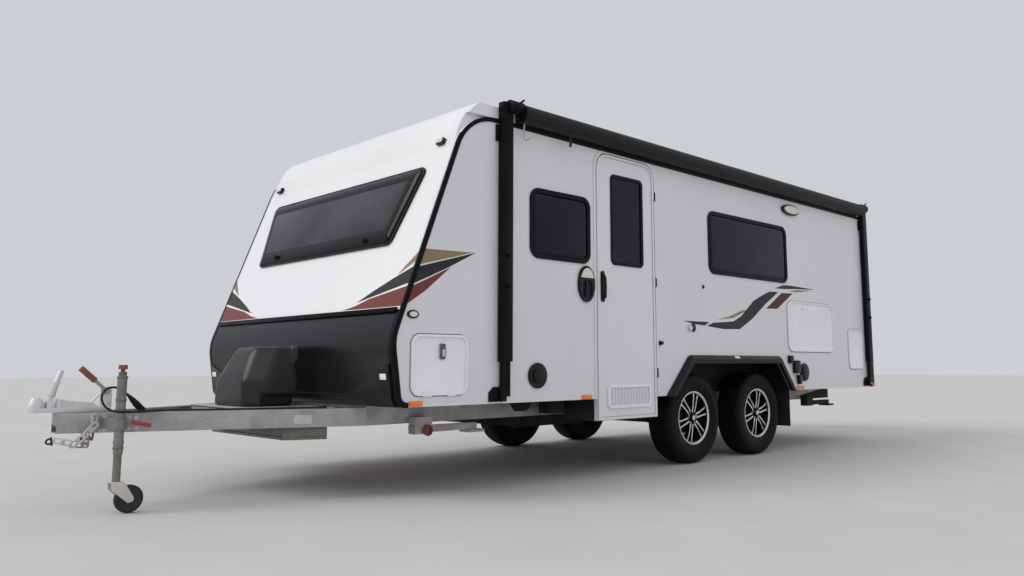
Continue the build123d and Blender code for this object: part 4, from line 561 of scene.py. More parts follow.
class Bench:
    """Modelling moves with Blender's own operators."""

    @staticmethod
    def clear() -> None:
        """Leave edit mode with nothing selected."""
        if bpy.context.object and bpy.context.object.mode != "OBJECT":
            bpy.ops.object.mode_set(mode="OBJECT")
        bpy.ops.object.select_all(action="DESELECT")

    @classmethod
    def hold(cls, piece: Piece) -> Piece:
        """Select one piece alone and make it active.

        Args:
            piece: the piece.

        Returns:
            The piece.
        """
        cls.clear()
        piece.select_set(True)
        bpy.context.view_layer.objects.active = piece
        return piece

    @classmethod
    @contextmanager
    def editing(cls, piece: Piece, kind: str = "") -> Iterator[None]:
        """Edit mode on one piece, with all of it selected.

        Args:
            piece: the piece.
            kind: select mode, or nothing to leave it as it is.

        Yields:
            Nothing, while the piece is in edit mode.
        """
        cls.hold(piece)
        bpy.ops.object.mode_set(mode="EDIT")
        if kind:
            bpy.ops.mesh.select_mode(type=kind)
        bpy.ops.mesh.select_all(action="SELECT")
        yield
        bpy.ops.object.mode_set(mode="OBJECT")

    @staticmethod
    def name(name: str) -> Piece:
        """Name the piece that an operator has just added.

        Args:
            name: the new name.

        Returns:
            The piece.
        """
        piece = bpy.context.object
        piece.name = name
        piece.data.name = name
        return piece

    @classmethod
    def fix(cls, piece: Piece) -> Piece:
        """Apply the piece's place, so that its object sits at the origin.

        Args:
            piece: the piece.

        Returns:
            The piece.
        """
        cls.hold(piece)
        bpy.ops.object.transform_apply(location=True, rotation=True, scale=True)
        return piece

    @classmethod
    def join(cls, pieces: list[Piece], name: str) -> Piece:
        """Join pieces into one.

        Args:
            pieces: the pieces, whose first one is kept.
            name: name of the result.

        Returns:
            The joined piece.
        """
        cls.clear()
        for piece in pieces:
            piece.select_set(True)
        bpy.context.view_layer.objects.active = pieces[0]
        if len(pieces) > 1:
            bpy.ops.object.join()
        return cls.name(name)

    @classmethod
    def smooth(cls, piece: Piece, angle: float = 30.0) -> Piece:
        """Shade smooth, except over edges sharper than angle.

        Args:
            piece: the piece.
            angle: least angle of a sharp edge, in degrees.

        Returns:
            The piece.
        """
        cls.hold(piece)
        bpy.ops.object.shade_smooth_by_angle(angle=math.radians(angle))
        return piece

    @classmethod
    def tidy(cls, piece: Piece) -> Piece:
        """Merge doubles and turn all faces outwards.

        Args:
            piece: the piece.

        Returns:
            The piece.
        """
        with cls.editing(piece):
            bpy.ops.mesh.remove_doubles(threshold=MERGE)
            bpy.ops.mesh.normals_make_consistent(inside=False)
        return piece

    @classmethod
    def bevel(cls, piece: Piece, width: float, segments: int = 2, angle: float = 30.0) -> Piece:
        """Bevel the sharp edges and smooth the shading.

        Args:
            piece: the piece.
            width: bevel width; nothing is done where it is 0.
            segments: bevel segments.
            angle: edges sharper than this many degrees are bevelled.

        Returns:
            The piece.
        """
        if not width:
            return piece
        cls.hold(piece)
        modifier = piece.modifiers.new("Bevel", "BEVEL")
        modifier.width = width
        modifier.segments = segments
        modifier.limit_method = "ANGLE"
        modifier.angle_limit = math.radians(angle)
        modifier.use_clamp_overlap = True
        bpy.ops.object.modifier_apply(modifier=modifier.name)
        return cls.smooth(piece, angle)

    @classmethod
    def barrel(
        cls, name: str, start: Vector, end: Vector, radius: float, sides: int = 24, bevel: float = 0.0
    ) -> Piece:
        """Round bar between two points.

        Args:
            name: the piece's name.
            start: middle of one end.
            end: middle of the other end.
            radius: its radius.
            sides: sides of the round.
            bevel: width of the end bevels.

        Returns:
            The piece.
        """
        cls.clear()
        along = end - start
        bpy.ops.mesh.primitive_cylinder_add(
            vertices=sides, radius=radius, depth=along.length, location=(start + end) / 2,
            rotation=along.to_track_quat("Z", "Y").to_euler(),
        )
        return cls.bevel(cls.fix(cls.name(name)), bevel)

    @classmethod
    def ring_of(cls, name: str, points: list[Vector], filled: bool) -> Piece:
        """Closed loop of points, from a circle whose vertices are moved to them.

        Args:
            name: the piece's name.
            points: its corners in order.
            filled: whether it gets a face.

        Returns:
            The piece.
        """
        cls.clear()
        fill = "NGON" if filled else "NOTHING"
        bpy.ops.mesh.primitive_circle_add(vertices=len(points), radius=1, fill_type=fill)
        piece = cls.name(name)
        for vertex, point in zip(piece.data.vertices, points):
            vertex.co = point
        return piece

    @classmethod
    def bridge(cls, name: str, outer: list[Vector], inner: list[Vector]) -> Piece:
        """Skin between two loops of as many corners.

        Args:
            name: the piece's name.
            outer: one loop.
            inner: the other loop.

        Returns:
            The piece.
        """
        piece = cls.join([cls.ring_of(name, line, False) for line in (outer, inner)], name)
        with cls.editing(piece, "EDGE"):
            bpy.ops.mesh.bridge_edge_loops()
        return piece

    @classmethod
    def push(cls, piece: Piece, thick: Vector, bevel: float) -> Piece:
        """Extrude the whole piece by a vector and bevel its edges.

        Args:
            piece: the piece.
            thick: the way and distance.
            bevel: width of the edge bevel.

        Returns:
            The piece.
        """
        with cls.editing(piece):
            bpy.ops.mesh.extrude_region_move(TRANSFORM_OT_translate={"value": thick})
        return cls.bevel(cls.tidy(piece), bevel)

    @classmethod
    def plate(cls, name: str, points: list[Vector], thick: Vector, bevel: float = 0.0) -> Piece:
        """Flat outline pushed out by a vector.

        Args:
            name: the piece's name.
            points: its corners in order.
            thick: the way and distance it is extruded.
            bevel: width of the edge bevel.

        Returns:
            The piece.
        """
        return cls.push(cls.ring_of(name, points, True), thick, bevel)

    @classmethod
    def hoop(
        cls, name: str, outer: list[Vector], inner: list[Vector], thick: Vector, bevel: float = 0.0
    ) -> Piece:
        """Flat ring between two outlines, pushed out by a vector.

        Args:
            name: the piece's name.
            outer: outer corners in order.
            inner: as many inner corners.
            thick: the way and distance it is extruded.
            bevel: width of the edge bevel.

        Returns:
            The piece.
        """
        return cls.push(cls.bridge(name, outer, inner), thick, bevel)

    @classmethod
    def stack(cls, name: str, loops: list[list[Vector]]) -> Piece:
        """Skin through loops of as many corners; its closing face has the most corners.

        Args:
            name: the piece's name.
            loops: the loops in order.

        Returns:
            The piece.
        """
        skins = [cls.bridge(name, *pair) for pair in zip(loops, loops[1:])]
        piece = cls.join([*skins, cls.ring_of(name, loops[-1], True)], name)
        return cls.smooth(cls.tidy(piece), 40)

    @classmethod
    def dome(cls, name: str, points: list[Vector], out: Vector, steps: Outline) -> Piece:
        """Outline whose face is inset and raised step by step.

        Args:
            name: the piece's name.
            points: its corners in order.
            out: the way it rises.
            steps: how far in and how far up each step goes.

        Returns:
            The piece.
        """
        piece = cls.ring_of(name, points, True)
        piece.data.update()
        flip = piece.data.polygons[0].normal.dot(out) < 0
        with cls.editing(piece, "FACE"):
            if flip:
                bpy.ops.mesh.flip_normals()
            for inward, upward in steps:
                bpy.ops.mesh.inset(thickness=inward, depth=upward)
        return cls.smooth(piece, 40)

    @classmethod
    def lathe(
        cls, name: str, profile: Outline, centre: Vector, axis: Vector, steps: int, angle: float = 30.0
    ) -> Piece:
        """Closed (along, radius) profile spun round an axis.

        Args:
            name: the piece's name.
            profile: corners of the closed section.
            centre: point on the axis where along is 0.
            axis: direction of the axis.
            steps: steps of a full turn.
            angle: edges sharper than this many degrees stay sharp.

        Returns:
            The piece.
        """
        axis = axis.normalized()
        out = axis.orthogonal().normalized()
        piece = cls.ring_of(name, [centre + axis * along + out * radius for along, radius in profile], False)
        with cls.editing(piece):
            bpy.ops.mesh.spin(steps=steps, angle=math.tau, center=centre, axis=axis)
        return cls.smooth(cls.tidy(piece), angle)

    @staticmethod
    def thread(curve: bpy.types.Curve, points: list[Vector], radius: float, sides: int, steps: int) -> None:
        """Give a curve one open, smooth spline along points.

        Args:
            curve: the curve.
            points: control points.
            radius: radius of its round section.
            sides: resolution of the section.
            steps: resolution along the course.
        """
        curve.dimensions = "3D"
        curve.bevel_depth = radius
        curve.bevel_resolution = sides
        curve.use_fill_caps = True
        curve.resolution_u = steps
        spline = curve.splines.new("NURBS")
        spline.points.add(len(points) - 1)
        for place, point in zip(spline.points, points):
            place.co = (*point, 1.0)
        spline.order_u = 3
        spline.use_endpoint_u = True

    @classmethod
    def wire(
        cls, name: str, points: list[Vector], radius: float, sides: int = 3, ring: bool = False
    ) -> Piece:
        """Round wire along points.

        Args:
            name: the piece's name.
            points: its course.
            radius: its radius.
            sides: resolution of its section.
            ring: whether it is a closed ring with straight runs.

        Returns:
            The piece, as a mesh.
        """
        cls.clear()
        curve = bpy.data.curves.new(name, "CURVE")
        cls.thread(curve, points, radius, sides, 6)
        if ring:
            curve.use_fill_caps = False
            curve.splines[0].type = "POLY"
            curve.splines[0].use_cyclic_u = True
        piece = bpy.data.objects.new(name, curve)
        bpy.context.scene.collection.objects.link(piece)
        cls.hold(piece)
        bpy.ops.object.convert(target="MESH")
        return cls.smooth(cls.tidy(bpy.context.object), 60)

    @classmethod
    def copy(cls, piece: Piece, name: str, place: Matrix) -> Piece:
        """Copy of a piece with its own mesh, moved by a matrix.

        Args:
            piece: the piece to copy.
            name: the copy's name.
            place: the move, which may be a mirror.

        Returns:
            The copy.
        """
        cls.hold(piece)
        bpy.ops.object.duplicate(linked=False)
        twin = cls.name(name)
        twin.data.transform(place)
        if place.determinant() < 0:
            with cls.editing(twin):
                bpy.ops.mesh.flip_normals()
        return twin


MOVING = (
    "front_lid", "front_lid_right", "heater_lid", "rear_lid", "coupling_handle", "handbrake", "jockey_crank",
    "jockey_fork", "jockey_wheel",
)


@dataclass
class Workshop:
    """What every sub-assembly needs: finishes, and how a piece is placed and reported."""

    paint: Paintbox

    def keep(
        self, piece: Piece, slot: str, *finishes: str, body: str = Body.MAIN.value,
        replaces: tuple[str, ...] = (),
    ) -> Piece:
        """Dress a piece, ride it on its body and report it.

        Args:
            piece: the finished piece.
            slot: not used.
            finishes: finishes by name; none keeps what it has.
            body: name of the CAD body that carries it.
            replaces: CAD nodes that it stands for.

        Returns:
            The piece.
        """
        if finishes:
            self.paint.dress(piece, *finishes)
        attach(piece, body)
        if replaces:
            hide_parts(*replaces)
        LOG.info("%s rides on %s", piece.name, body)
        return piece

    def both(
        self, piece: Piece, slot: str, *finishes: str,
        bodies: tuple[str, str] = (Body.MAIN.value, Body.MAIN.value),
    ) -> None:
        """Keep a piece on the door side and its mirror image on the far side.

        Args:
            piece: the piece on the door side.
            slot: handed on to keep.
            finishes: finishes by name.
            bodies: the bodies that carry the piece and its mirror image.
        """
        twin = Bench.copy(piece, f"{piece.name}_far", MIRROR)
        for copy, body in zip((piece, twin), bodies):
            self.keep(copy, slot, *finishes, body=body)

    @staticmethod
    def _twin(node: str, suffix: str) -> Piece:
        """Merged copy of a CAD node, held for the next operator.

        Args:
            node: the CAD node.
            suffix: end of the copy's name.

        Returns:
            The copy.
        """
        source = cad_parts[node]
        piece = source.copy()
        piece.data = source.data.copy()
        for key in list(piece.keys()):
            del piece[key]
        piece.parent = None
        piece.name = f"{node}_{suffix}"
        bpy.context.scene.collection.objects.link(piece)
        with Bench.editing(piece):
            bpy.ops.mesh.remove_doubles(threshold=MERGE)
            bpy.ops.mesh.dissolve_limited(angle_limit=math.radians(0.6))
        return piece

    def soft(self, node: str, slot: str, finish: str, grid: float, passes: int) -> Piece:
        """Copy of a CAD node with corners as round as blow moulding makes them, standing for the node.

        Args:
            node: the CAD node.
            slot: handed on to keep.
            finish: finish by name.
            grid: size of the grid that the skin is rebuilt on.
            passes: how often the skin is smoothed.

        Returns:
            The piece.
        """
        piece = self._twin(node, "soft")
        for kind, values in (
            ("REMESH", {"mode": "VOXEL", "voxel_size": grid, "use_smooth_shade": True}),
            ("SMOOTH", {"factor": 0.5, "iterations": passes}),
        ):
            modifier = piece.modifiers.new(kind.title(), kind)
            for key, value in values.items():
                setattr(modifier, key, value)
            bpy.ops.object.modifier_apply(modifier=modifier.name)
        return self.keep(piece, slot, finish, replaces=(node,))

    def eased(self, node: str, slot: str, width: float, angle: float = 30.0, segments: int = 2) -> Piece:
        """Copy of a CAD node with its edges rounded and the node's finish, standing for the node.

        Args:
            node: the CAD node.
            slot: handed on to keep.
            width: width of the rounding.
            angle: edges sharper than this many degrees are rounded.
            segments: segments of the rounding.

        Returns:
            The piece.
        """
        piece = Bench.bevel(self._twin(node, "eased"), width, segments, angle)
        body = node if node in MOVING else Body.MAIN.value
        return self.keep(piece, slot, body=body, replaces=(node,))

    def two_tone(self, node: str, near: str, far: str, way: Vector, limit: float) -> None:
        """Round a rusty node's edges and paint what lies beyond a limit in a second finish.

        Args:
            node: the CAD node.
            near: finish before the limit.
            far: finish beyond it.
            way: direction the limit is measured in.
            limit: distance from the origin.
        """
        piece = self.eased(node, "rust", 0.003)
        self.paint.dress(piece, near, far)
        for face in piece.data.polygons:
            face.material_index = 1 if face.center.dot(way) > limit else 0

    def repaint(self, node: str, finish: str, low: tuple, high: tuple) -> None:
        """Paint the part of a CAD node that lies in a box.

        Args:
            node: the CAD node.
            finish: the part's finish.
            low: lowest corner of the box, x as a distance from the middle.
            high: its highest corner.
        """
        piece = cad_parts[node]
        piece.data.materials.append(self.paint.materials[finish])
        for face in piece.data.polygons:
            spot = (abs(face.center.x), face.center.y, face.center.z)
            if all(a < b < c for a, b, c in zip(low, spot, high)):
                face.material_index = len(piece.data.materials) - 1


# Camera, light and floor


@dataclass
class Studio:
    """Camera where the photograph was taken from, soft studio light and a pale floor."""

    eye: tuple[float, float, float] = (5.25346, -5.15342, 0.79846)
    yaw: float = 45.0616
    pitch: float = 7.5680
    roll: float = -0.1306
    lens: float = 29.32
    shift: tuple[float, float] = (-0.0360, -0.0331)
    sky: float = 0.84
    sun: float = 1.25
    sun_way: tuple[float, float, float] = (-0.35, -0.75, 0.75)
    sun_wide: float = 30.0
    backdrop: Colour = (0.60, 0.625, 0.66)
    floor_half: float = 60.0
    floor_top: float = -0.001

    def camera(self) -> None:
        """Set the photograph's view."""
        yaw, pitch, roll = (math.radians(a) for a in (self.yaw, self.pitch, self.roll))
        ahead = Vector((-math.sin(yaw) * math.cos(pitch), math.cos(yaw) * math.cos(pitch), math.sin(pitch)))
        right = Vector((math.cos(yaw), math.sin(yaw), 0))
        above = right.cross(ahead)
        across = right * math.cos(roll) + above * math.sin(roll)
        up = above * math.cos(roll) - right * math.sin(roll)
        bpy.ops.object.camera_add()
        camera = bpy.context.object
        camera.name = "photo_view"
        turned = Matrix((across, up, -ahead)).transposed().to_4x4()
        camera.matrix_world = Matrix.Translation(self.eye) @ turned
        camera.data.lens = self.lens
        camera.data.sensor_width = 36
        camera.data.shift_x, camera.data.shift_y = self.shift
        camera.data.clip_end = 200
        bpy.context.scene.camera = camera

    def light(self) -> None:
        """Even sky, a broad sun on the front wall, and a pale background."""
        scene = bpy.context.scene
        scene.view_settings.view_transform = "Standard"
        scene.world = bpy.data.worlds.new("studio")
        scene.world.use_nodes = True
        wiring = Wiring(scene.world.node_tree)
        path = wiring.add("LightPath", {}).outputs
        mirror = wiring.maths("MAXIMUM", path["Is Glossy Ray"], path["Is Transmission Ray"])
        seen = wiring.maths("MAXIMUM", path["Is Camera Ray"], mirror)
        tone = wiring.mix(seen, (self.sky, self.sky, self.sky * 1.02), self.backdrop)
        wiring.feed(wiring.tree.nodes["Background"].inputs["Color"], tone)
        bpy.ops.object.light_add(type="SUN")
        sun = bpy.context.object
        sun.name = "soft_sun"
        sun.data.energy = self.sun
        sun.data.angle = math.radians(self.sun_wide)
        sun.rotation_euler = Vector(self.sun_way).to_track_quat("Z", "Y").to_euler()

    def floor(self) -> None:
        """Lay the pale floor."""
        bpy.ops.mesh.primitive_plane_add(size=2 * self.floor_half, location=(0, 0, self.floor_top))
        plane = Bench.fix(Bench.name("studio_floor"))
        shader = Shader("pale_floor")
        broad = shader.effect("moulded_grain", Scale=120.0)["Broad"]
        shader.put(Base_Color=shader.mix(broad, (0.52, 0.51, 0.50), (0.49, 0.48, 0.47)), Roughness=0.9)
        plane.data.materials.append(shader.material)


# Electrical lead


@dataclass
class Lead(Workshop):
    """Seven-core lead that runs down the drawbar, loops behind the jockey tube and ends in a plug."""

    diameter: float = 0.012
    length: float = 1.505
    relief: float = 0.045
    neck: float = 0.022
    plug_radius: float = 0.020
    plug_long: float = 0.078
    plug_way: tuple[float, float, float] = (-2, 32, -34)
    plug_ribs: int = 7
    pins: int = 7
    sleeve_ribs: int = 6
    gland_sunk: float = 0.012
    gland_ends: tuple[float, float] = (0.013, 0.0072)
    boot_long: float = 0.030
    boot_ends: tuple[float, float] = (0.0165, 0.0070)
    stations: tuple = (
        (631.0, -60, 545), (480.4, -370, 545), (334.5, -700, 545), (281.4, -850, 547), (301.4, -972, 546),
        (313.4, -1070, 545), (313.4, -1134, 547), (309.4, -1186, 561), (293.4, -1216, 601),
        (267.4, -1210, 649), (245.4, -1174, 681), (235.4, -1122, 681), (232.4, -1078, 653),
        (230.4, -1046, 619),
    )

    def route(self) -> list[Vector]:
        """Control points, given in millimetres, from the gland in the shield to the plug.

        Returns:
            The points in order.
        """
        return [from_nose(*(part / 1000 for part in station)) for station in self.stations]

    def make(self) -> None:
        """Build the cord, its strain relief and its plug."""
        points = self.route()
        way = Vector(self.plug_way).normalized()
        Bench.clear()
        bpy.ops.curve.primitive_nurbs_path_add()
        cord = bpy.context.object
        cord.name = "lead_cord"
        cord.data.splines.clear()
        Bench.thread(cord.data, points, self.diameter / 2, 5, 12)
        self.keep(cord, "rubber", "soft_rubber", replaces=("lead",))
        start = (points[0] - points[1]).normalized()
        tip = points[0] - start * self.relief
        gland = self._sleeve("lead_gland", points[0] + start * self.gland_sunk, tip, *self.gland_ends)
        end = points[-1] + way * self.neck
        boot = self._sleeve("lead_boot", end, points[-1] - way * self.boot_long, *self.boot_ends)
        plug = self._plug(end, way)
        for sleeve in (gland, boot):
            self.keep(sleeve, "rubber", "soft_rubber")
        self.keep(plug, "black", "pocket_black", replaces=("lead_ends",))

    def _sleeve(self, name: str, thick_end: Vector, thin_end: Vector, wide: float, narrow: float) -> Piece:
        """Tapered strain relief with ribs.

        Args:
            name: the piece's name.
            thick_end: middle of the wide end.
            thin_end: middle of the narrow end.
            wide: radius at the wide end.
            narrow: radius at the narrow end.

        Returns:
            The piece.
        """
        along = thin_end - thick_end
        long = along.length
        ribs = self.sleeve_ribs
        profile = [(0.0, narrow * 0.86), (0.0, wide)]
        for rib in range(ribs):
            for share, waist in ((0.15, 1.0), (0.7, 1.0), (0.85, 0.9)):
                at = (rib + share) / ribs
                if waist == 1.0 or rib < ribs - 1:
                    profile.append((at * long, (wide + (narrow - wide) * at) * waist))
        profile.append((long, narrow * 0.86))
        return Bench.lathe(name, profile, thick_end, along, 24)

    def _plug(self, foot: Vector, way: Vector) -> Piece:
        """Round plug with a ribbed grip and a keyed front ring.

        Args:
            foot: middle of its back.
            way: direction it points in.

        Returns:
            The piece.
        """
        r, long = self.plug_radius, self.plug_long
        profile = [(0, 0.0005), (0, r * 0.72), (0.006, r * 0.84), (0.012, r * 0.86)]
        for rib in range(self.plug_ribs):
            at = 0.014 + rib * 0.0056
            profile += [
                (at, r * 0.88), (at + 0.0012, r * 0.96), (at + 0.0034, r * 0.96), (at + 0.0044, r * 0.88),
            ]
        profile += [(0.056, r * 0.88), (0.058, r), (long - 0.002, r), (long, r * 0.95), (long, r * 0.80)]
        profile += [(long - 0.012, r * 0.78), (long - 0.012, 0.0005)]
        plug = Bench.lathe("lead_plug", profile, foot, way, 32)
        side = way.orthogonal().normalized()
        rim = foot + side * r
        parts = [plug, Bench.barrel("plug_key", rim + way * 0.058, rim + way * (long - 0.001), 0.003, 12)]
        ring = self.pins - 1
        for pin in range(self.pins):
            turn = math.tau * pin / ring
            out = side * math.cos(turn) + way.cross(side) * math.sin(turn)
            middle = foot + out * (0.009 if pin < ring else 0)
            back, front = (middle + way * (long - depth) for depth in (0.014, 0.002))
            parts.append(Bench.barrel("pin", back, front, 0.0016, 8))
        return Bench.join(parts, "lead_plug")


# Wheels


@dataclass
class Wheel(Workshop):
    """One road wheel, modelled at the front on the door side and copied to the other three places."""

    middle_x: float = 1.063
    radius: float = 0.365
    half: float = 0.117
    tread_half: float = 0.096
    groove: float = 0.0065
    groove_foot: float = 0.0045
    groove_top: float = 0.006
    grooves: tuple = (-0.060, -0.021, 0.021, 0.060)
    bead_radius: float = 0.205
    rim_half: float = 0.092
    hub_radius: float = 0.066
    cap_radius: float = 0.030
    badge_radius: float = 0.022
    bolt_radius: float = 0.049
    spoke_back: float = 0.050
    spoke_pairs: int = 6
    split: float = 0.021
    spoke_wide: float = 0.013
    blocks: int = 72
    nuts: int = 5
    nut_turn: float = 0.3
    nut_radius: float = 0.0085
    nut_cup: tuple = (
        (0.0762, 0.0085), (0.0768, 0.0105), (0.0768, 0.0115), (0.0755, 0.012), (0.074, 0.0085),
    )
    drum: tuple = (
        (-0.060, 0.001), (-0.060, 0.125), (0.018, 0.125), (0.024, 0.119), (0.024, 0.080), (0.034, 0.070),
        (0.038, 0.001),
    )

    def make(self) -> None:
        """Build the first wheel and copy it."""
        low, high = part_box("rim_front_left")
        centre = Vector((self.middle_x, (low.y + high.y) / 2, self.radius))
        patterns = (
            ("tread", "tyre", "tyre", self._tyre(centre)), ("alloy", "alloy", "rim", self._rim(centre)),
        )
        for side in Side:
            for place in ("front", "rear"):
                label = f"{place}_{side.name.lower()}"
                low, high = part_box(f"rim_{label}")
                move = Matrix.Translation((0, (low.y + high.y) / 2 - centre.y, 0))
                if side is Side.RIGHT:
                    move = move @ MIRROR
                for name, slot, node, pattern in patterns:
                    copy = Bench.copy(pattern, f"{name}_{label}", move)
                    self.keep(copy, slot, body=f"wheel_{label}", replaces=(f"{node}_{label}",))
        for *_, pattern in patterns:
            bpy.data.objects.remove(pattern, do_unlink=True)

    def _tyre(self, centre: Vector) -> Piece:
        """Tyre with ribbed sidewalls, four grooves and shoulder blocks.

        Args:
            centre: middle of the wheel.

        Returns:
            The tyre.
        """
        r, t, bead = self.radius, self.tread_half, self.bead_radius
        outer = [(-t, r - 0.010)]
        for middle in self.grooves:
            crown, floor = r - 0.0025 * (middle / t) ** 2, r - self.groove
            outer += [(middle - self.groove_top, crown), (middle - self.groove_foot, floor)]
            outer += [(middle + self.groove_foot, floor), (middle + self.groove_top, crown)]
        outer += [(t, r - 0.010)]
        wall = [
            (0.108, r - 0.024), (0.1145, r - 0.045), (0.1145, r - 0.050), (self.half, r - 0.062),
            (self.half, r - 0.092), (0.1155, r - 0.096), (0.1155, r - 0.104), (0.114, r - 0.108),
            (0.108, r - 0.134), (0.104, r - 0.146), (0.099, r - 0.149), (0.093, bead + 0.004),
            (0.086, bead - 0.001),
        ]
        profile = [*((-x, z) for x, z in reversed(wall)), *outer, *wall]
        tyre = Bench.lathe("tyre_pattern", profile, centre, DOOR_WAY, self.blocks * 2, 38)
        self._cut_blocks(tyre, centre)
        self.paint.dress(tyre, "tyre_rubber")
        return Bench.smooth(tyre, 32)

    def _cut_blocks(self, tyre: Piece, centre: Vector) -> None:
        """Sink every other pair of shoulder faces, so that the tread shows blocks.

        Args:
            tyre: the tyre.
            centre: middle of the wheel.
        """
        Bench.hold(tyre)
        bpy.ops.object.mode_set(mode="EDIT")
        bpy.ops.mesh.select_mode(type="FACE")
        bpy.ops.mesh.select_all(action="DESELECT")
        bpy.ops.object.mode_set(mode="OBJECT")
        step = math.tau / self.blocks
        for face in tyre.data.polygons:
            off = face.center - centre
            shoulder = math.hypot(off.y, off.z) > self.radius - 0.022 and 0.066 < abs(off.x) < 0.104
            turn = (math.atan2(off.z, off.y) + (step / 2 if off.x > 0 else 0)) % step
            face.select = shoulder and turn < step * 0.5
        bpy.ops.object.mode_set(mode="EDIT")
        bpy.ops.mesh.inset(thickness=0.0022, depth=-0.0045, use_individual=False)
        bpy.ops.object.mode_set(mode="OBJECT")

    def _turned(
        self, name: str, profile: Outline, centre: Vector, steps: int, angle: float, *finishes: str
    ) -> Piece:
        """Round part of the rim about the wheel's axis, dressed.

        Args:
            name: the part's name.
            profile: its closed (along, radius) section.
            centre: middle of the wheel.
            steps: steps of a full turn.
            angle: least angle of a sharp edge, in degrees.
            finishes: finishes by name.

        Returns:
            The part.
        """
        part = Bench.lathe(name, profile, centre, DOOR_WAY, steps, angle)
        self.paint.dress(part, *finishes)
        return part

    @staticmethod
    def _second_finish(piece: Piece, centre: Vector, ahead: float, low: float, high: float) -> None:
        """Give the second finish to faces beyond ahead on the axis, and between two radii from it.

        Args:
            piece: the piece.
            centre: middle of the wheel.
            ahead: least distance outwards from the middle.
            low: least radius.
            high: largest radius.
        """
        for face in piece.data.polygons:
            off = face.center - centre
            if off.x > ahead and low < math.hypot(off.y, off.z) < high:
                face.material_index = 1

    def _rim(self, centre: Vector) -> Piece:
        """Alloy rim: barrel, twin spokes with machined faces, hub, nuts, cap and valve.

        Args:
            centre: middle of the wheel.

        Returns:
            The rim.
        """
        b, h, hub_r, cap_r = self.bead_radius, self.rim_half, self.hub_radius, self.cap_radius
        barrel = self._turned("rim_barrel", [
            (h + 0.006, b + 0.012), (h + 0.008, b + 0.010), (h + 0.008, b + 0.001), (h, b - 0.007),
            (h - 0.020, b - 0.010), (0.045, b - 0.016), (0.020, b - 0.030), (-0.060, b - 0.028),
            (-h, b - 0.010), (-h - 0.006, b + 0.010), (-h, b + 0.010), (-h + 0.010, b - 0.001),
            (-0.055, b - 0.020), (0.020, b - 0.022), (0.050, b - 0.008), (h - 0.008, b - 0.001),
            (h, b + 0.010),
        ], centre, 96, 28, "pocket_black", "machined_alloy")
        self._second_finish(barrel, centre, h - 0.002, b - 0.008, 1.0)
        parts = [barrel]
        for pair in range(self.spoke_pairs):
            parts += self._spokes(centre, math.tau * (pair + 0.25) / self.spoke_pairs)
        parts.append(self._turned("hub", [
            (0.036, 0.001), (0.036, hub_r), (0.060, hub_r), (0.072, hub_r - 0.006), (0.076, hub_r - 0.012),
            (0.076, 0.034), (0.070, 0.0325), (0.070, 0.001),
        ], centre, 60, 25, "pocket_black"))
        cap = self._turned("cap", [
            (0.070, 0.001), (0.070, cap_r), (0.090, cap_r), (0.096, cap_r - 0.004), (0.0985, cap_r - 0.010),
            (0.0995, 0.010), (0.100, 0.001),
        ], centre, 48, 25, "pocket_black", "silver_paint")
        self._second_finish(cap, centre, 0.0955, -1.0, self.badge_radius)
        parts.append(cap)
        for index in range(self.nuts):
            turn = math.tau * index / self.nuts + self.nut_turn
            at = centre + Vector((0, math.cos(turn), math.sin(turn))) * self.bolt_radius
            parts.append(self._turned("cup", self.nut_cup, at, 20, 30, "pocket_black"))
            ends = at + DOOR_WAY * 0.070, at + DOOR_WAY * 0.086
            nut = Bench.barrel("nut", *ends, self.nut_radius, 6, 0.0015)
            self.paint.dress(nut, "bright_steel")
            parts.append(nut)
        turn = math.tau * 0.5 / self.spoke_pairs
        out = Vector((0, math.cos(turn), math.sin(turn)))
        foot, tip = centre + out * 0.188 + DOOR_WAY * 0.052, centre + out * 0.180 + DOOR_WAY * 0.086
        valve = Bench.barrel("valve", foot, tip, 0.0045, 12, 0.001)
        self.paint.dress(valve, "soft_rubber")
        drum = self._turned("drum", self.drum, centre, 48, 25, "underside_black")
        return Bench.join([*parts, valve, drum], "rim_pattern")

    def _spokes(self, centre: Vector, turn: float) -> list[Piece]:
        """Two parallel spokes with a dark web between them at the root.

        Args:
            centre: middle of the wheel.
            turn: angle of the pair, in radians.

        Returns:
            Both spokes and the web.
        """
        out = Vector((0, math.cos(turn), math.sin(turn)))
        across = Vector((0, -math.sin(turn), math.cos(turn)))
        corners = (
            (0.050, 0.015, 0.0085), (0.100, self.split * 0.85, 0.0075),
            (0.150, self.split * 1.05, self.spoke_wide / 2), (0.182, self.split * 1.25, 0.0080),
            (0.1975, self.split * 1.55, 0.0120),
        )
        back = DOOR_WAY * self.spoke_back
        made = []
        for sign in (-1, 1):
            line = [centre + out * a + across * (sign * m - w) + back for a, m, w in corners]
            line += [centre + out * a + across * (sign * m + w) + back for a, m, w in reversed(corners)]
            spoke = Bench.plate("spoke", line, DOOR_WAY * 0.034)
            for vertex in spoke.data.vertices:
                reach = (vertex.co - centre).dot(out)
                if vertex.co.x - centre.x > self.spoke_back + 0.01:
                    crown = 0.004 * math.sin(math.pi * min(reach, 0.2) / 0.2)
                    vertex.co.x += crown - 0.006 * max(0.0, 1 - reach / 0.09)
            Bench.bevel(spoke, 0.0018)
            self.paint.dress(spoke, "pocket_black", "machined_alloy")
            for face in spoke.data.polygons:
                off = face.center - centre
                if face.normal.x > 0.75 and off.x > 0.055 and math.hypot(off.y, off.z) > self.hub_radius:
                    face.material_index = 1
            made.append(spoke)
        web = Bench.plate("web", [
            centre + out * a + across * m + DOOR_WAY * 0.052
            for a, m in ((0.055, -0.016), (0.150, -0.020), (0.150, 0.020), (0.055, 0.016))
        ], DOOR_WAY * 0.010, 0.002)
